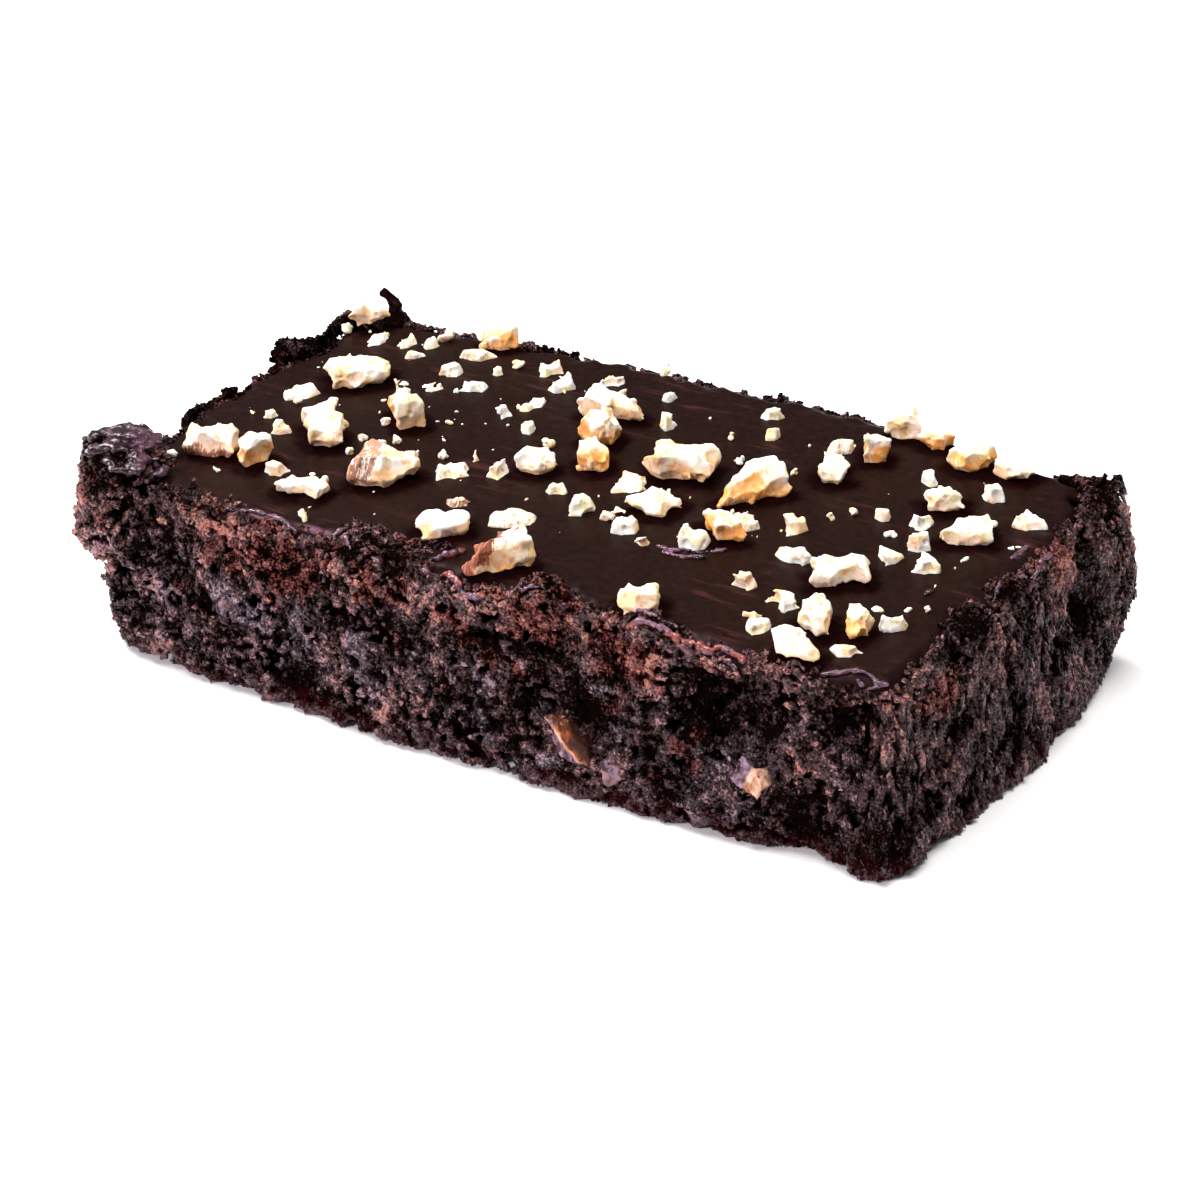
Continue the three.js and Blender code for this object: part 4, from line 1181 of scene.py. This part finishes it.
def make_drape(rng):
    points, faces = corner_drape(rng)
    curl_points, curl_faces = curl_coat(rng)
    faces = [np.concatenate([group, on_curl + len(points)]) for group, on_curl in zip(faces, curl_faces)]
    points = np.concatenate([points, curl_points])
    curl = ramp(points[:, 1], 0, 10)
    # A painted violet sheen in patches on the corner's coat, none on the curl.
    painted_violet_sheen = 0.5 * (1 - curl) * ramp(rough(points, 2.4, 1.0), 0, 0.6)
    looks = {"edge": 1, "smear": 0, "painted_violet_sheen": painted_violet_sheen, "shade": 0.8 * curl, "wrinkled": 0.9 - 0.6 * curl}
    make_piece("icing_drape", points, faces, (), ICING_MATERIAL, looks)


# The drape and then the loose granules draw from one source of random numbers.
rng = np.random.default_rng(88)
make_drape(rng)

# Loose granules that cling to the torn crumb

# Two shapes of granule, as corners about 1 from the middle and faces that face outwards.
OCTAHEDRON = (
    np.concatenate([np.eye(3), -np.eye(3)]),
    np.array([(0, 1, 2), (1, 3, 2), (3, 4, 2), (4, 0, 2), (1, 0, 5), (3, 1, 5), (4, 3, 5), (0, 4, 5)]),
)
TETRAHEDRON = (
    0.75 * np.array([(1, 1, 1), (1, -1, -1), (-1, 1, -1), (-1, -1, 1)]),
    np.array([(0, 1, 2), (0, 2, 3), (0, 3, 1), (1, 3, 2)]),
)
FINE_GRAINS = 36000
COARSE_GRAINS = 2600
LIP_GRAINS = 2200
NUT_GRAINS = 200
# Lines along which torn crumbs lie on the icing.
STREWN = [
    [(-48, -28.6), (-43.8, -29), (-40.3, -29.4), (-37.1, -28.4)], [(-46, -27.4), (-43, -27.8)],
    [(-22.1, -26.4), (-19.5, -25.2), (-16.3, -25.8), (-13.4, -26.6), (-10.3, -26.4), (-7.4, -24.8)],
    [(-20, -27.4), (-15.4, -28), (-11, -28.4), (-8, -27)], [(-57, -20), (-55.6, -22.6), (-53, -25)],
]
# The radii of the coarse granules: on the crumb, on the lip, by the baked nuts and strewn on the icing.
COARSE_RADII = ((0.3, 0.5), (0.28, 0.6), (0.2, 0.45), (0.22, 0.6))
# Where the icing hangs over the front and its wall is bare.
BARE_LIP = at_height(25, (56, -28, 5, 4), (-4, -31, 4, 2.4))


def lip_weight(middle, normal):
    """The outer wall of the icing at the front, left and right, in patches, but not where it hangs over."""
    wall = (np.abs(normal[:, 2]) < 0.93) & (middle[:, 2] < ICING_TOP - 0.3) & (middle[:, 1] < 20)
    outward = middle[:, 0] * normal[:, 0] + middle[:, 1] * normal[:, 1] > 0
    bare = spots(middle, BARE_LIP) * (middle[:, 2] > ICING_TOP - 0.8)
    return wall * outward * ramp(rough(middle.astype(np.float32), 5.0, 2.0), -0.9, -0.4) * (bare < 0.4)


def nut_weight(middle, normal):
    """The parts of the baked walnuts that show, next to the crumb."""
    return (normal[:, 1] < 0.2) * ramp(-np.abs(crumb.sample(middle)), -0.9, -0.4)


def strewn(lines, spacing, spread):
    """Places of crumbs strewn along some lines over the icing, and the way up for each."""
    raised = [[(x, y, ICING_TOP + 0.2) for x, y in line] for line in lines]
    places = np.concatenate([along(line, spacing, spread, rng) for line in raised])
    places[:, 2] = np.clip(places[:, 2], ICING_TOP - 0.1, ICING_TOP + 0.7)
    return places, np.tile([0, 0, 1], (len(places), 1))


def clear_of_folds(places, normals):
    """Only the places that leave the icing's folds bare."""
    clear = wrinkles.sample(places) > 0.25
    return places[clear], normals[clear]


def granules(shape, places, lifts, radii, scales, unevenness):
    """Uneven lumps of one shape, lifted off some places: points, triangles and a tone for each point."""
    corners, faces = shape
    count = len(places)
    frames = leaning(turned_frames(count, rng, scales), places)
    uneven = rng.uniform(1 - unevenness, 1 + unevenness, (count, len(corners), 1))
    lumps = np.einsum("nck,nkj->ncj", uneven * corners, frames) * radii[:, None, None]
    points = (lumps + (places + lifts)[:, None]).reshape(-1, 3)
    triangles = (faces[None] + np.arange(count)[:, None, None] * len(corners)).reshape(-1, 3)
    return points, triangles, np.repeat(rng.random(count), len(corners))


def coarse_granules():
    parts = [
        scatter_on(body_points, as_triangles(body_faces), COARSE_GRAINS, rng, side_weight),
        scatter_on(top_points, as_triangles(top_faces), LIP_GRAINS, rng, lip_weight),
        scatter_on(*node_mesh(*BAKED), NUT_GRAINS, rng, nut_weight),
        strewn(STREWN, 0.16, 0.45),
    ]
    parts = [clear_of_folds(*part) for part in parts]
    places, normals = (np.concatenate(arrays) for arrays in zip(*parts))
    radii = [rng.uniform(*limits, len(part[0])) for part, limits in zip(parts, COARSE_RADII)]
    radii = np.concatenate(radii)
    lifts = normals * (0.15 * radii)[:, None]
    return granules(OCTAHEDRON, places, lifts, radii, ((0.9, 1.4), (0.7, 1.2), (0.7, 1.1)), 0.3)


def fine_granules():
    places, normals = scatter_on(body_points, as_triangles(body_faces), FINE_GRAINS, rng, side_weight)
    places, _ = clear_of_folds(places, normals)
    radii = 0.18 + 0.22 * rng.random(len(places)) ** 2
    return granules(TETRAHEDRON, places, 0, radii, ((0.9, 1.25), (0.8, 1.1), (0.8, 1.0)), 0.25)


def make_granules():
    coarse_points, coarse_faces, coarse_tone = coarse_granules()
    fine_points, fine_faces, fine_tone = fine_granules()
    points = np.concatenate([coarse_points, fine_points])
    points[:, 2] = np.maximum(points[:, 2], 0)
    faces = np.concatenate([coarse_faces, fine_faces + len(coarse_points)])
    looks = crumb_looks(points, np.concatenate([coarse_tone, fine_tone]))
    make_piece("crumb_granules", points, (faces,), (), CRUMB_MATERIAL, looks, smooth=False)


make_granules()

# Floor, world, lights and camera

FLOOR_HALF = 4
# Each lamp's name, its place, target and size in metres, its power in watts and its colour.
LIGHTS = [
    ("key", (-0.62, 0.1, 0.75), (0, 0, 0.01), 0.4, 10.8, (1, 0.97, 0.93)),
    ("front", (-0.4, -0.85, 0.45), (0, 0, 0.01), 0.16, 8, (1, 0.92, 0.98)),
    ("top", (0.2, 0, 1.2), (0, 0, 0), 0.8, 15.6, (1, 0.99, 0.97)),
]
SKY_COLOUR, SKY_STRENGTH = (0.97, 0.96, 1, 1), 0.24


def floor():
    mesh = bpy.data.meshes.new("floor")
    corners = [(x * FLOOR_HALF, y * FLOOR_HALF, 0) for x, y in ((-1, -1), (1, -1), (1, 1), (-1, 1))]
    mesh.from_pydata(corners, [], [(0, 1, 2, 3)])
    plane = add_object("floor", mesh)
    nodes = Nodes("floor")
    pale = nodes.mix(nodes.noise(120, 2), (250, 250, 250), (252, 252, 252))
    nodes.set(Base_Color=pale, Roughness=0.9, Specular_IOR_Level=0.0)
    mesh.materials.append(nodes.material)


def light(name, place, target, size, power, colour):
    """A round lamp that faces its target."""
    lamp = bpy.data.lights.new(name, "AREA")
    lamp.shape = "DISK"
    lamp.size = size
    lamp.energy = power
    lamp.color = colour
    holder = add_object(name, lamp)
    direction = np.array(target, float) - np.array(place, float)
    holder.rotation_euler = Vector(direction).to_track_quat("-Z", "Y").to_euler()
    holder.location = place


def sky():
    world = bpy.data.worlds.new("world")
    bpy.context.scene.world = world
    world.use_nodes = True
    background = world.node_tree.nodes["Background"]
    background.inputs["Color"].default_value = SKY_COLOUR
    background.inputs["Strength"].default_value = SKY_STRENGTH


def camera():
    azimuth, elevation, roll = (math.radians(CAMERA[key]) for key in ("azimuth", "elevation", "roll"))
    flat = math.cos(elevation)
    back = np.array([math.sin(azimuth) * flat, -math.cos(azimuth) * flat, math.sin(elevation)])
    level = np.array([math.cos(azimuth), math.sin(azimuth), 0])
    upright = np.cross(back, level)
    right = math.cos(roll) * level + math.sin(roll) * upright
    up = -math.sin(roll) * level + math.cos(roll) * upright
    place = (CAMERA["right"] * right + CAMERA["up"] * up + CAMERA["distance"] * back) * MM
    data = bpy.data.cameras.new("camera")
    data.sensor_fit = "HORIZONTAL"
    data.sensor_width = SENSOR
    data.lens = SENSOR * FOCAL_SHARE
    data.clip_start = 0.01
    holder = add_object("camera", data)
    rows = [[*row, shift] for row, shift in zip(np.stack([right, up, back], 1), place)]
    holder.matrix_world = Matrix([*rows, [0, 0, 0, 1]])
    bpy.context.scene.camera = holder


floor()
sky()
for lamp in LIGHTS:
    light(*lamp)
camera()
bpy.context.scene.view_settings.view_transform = "Standard"
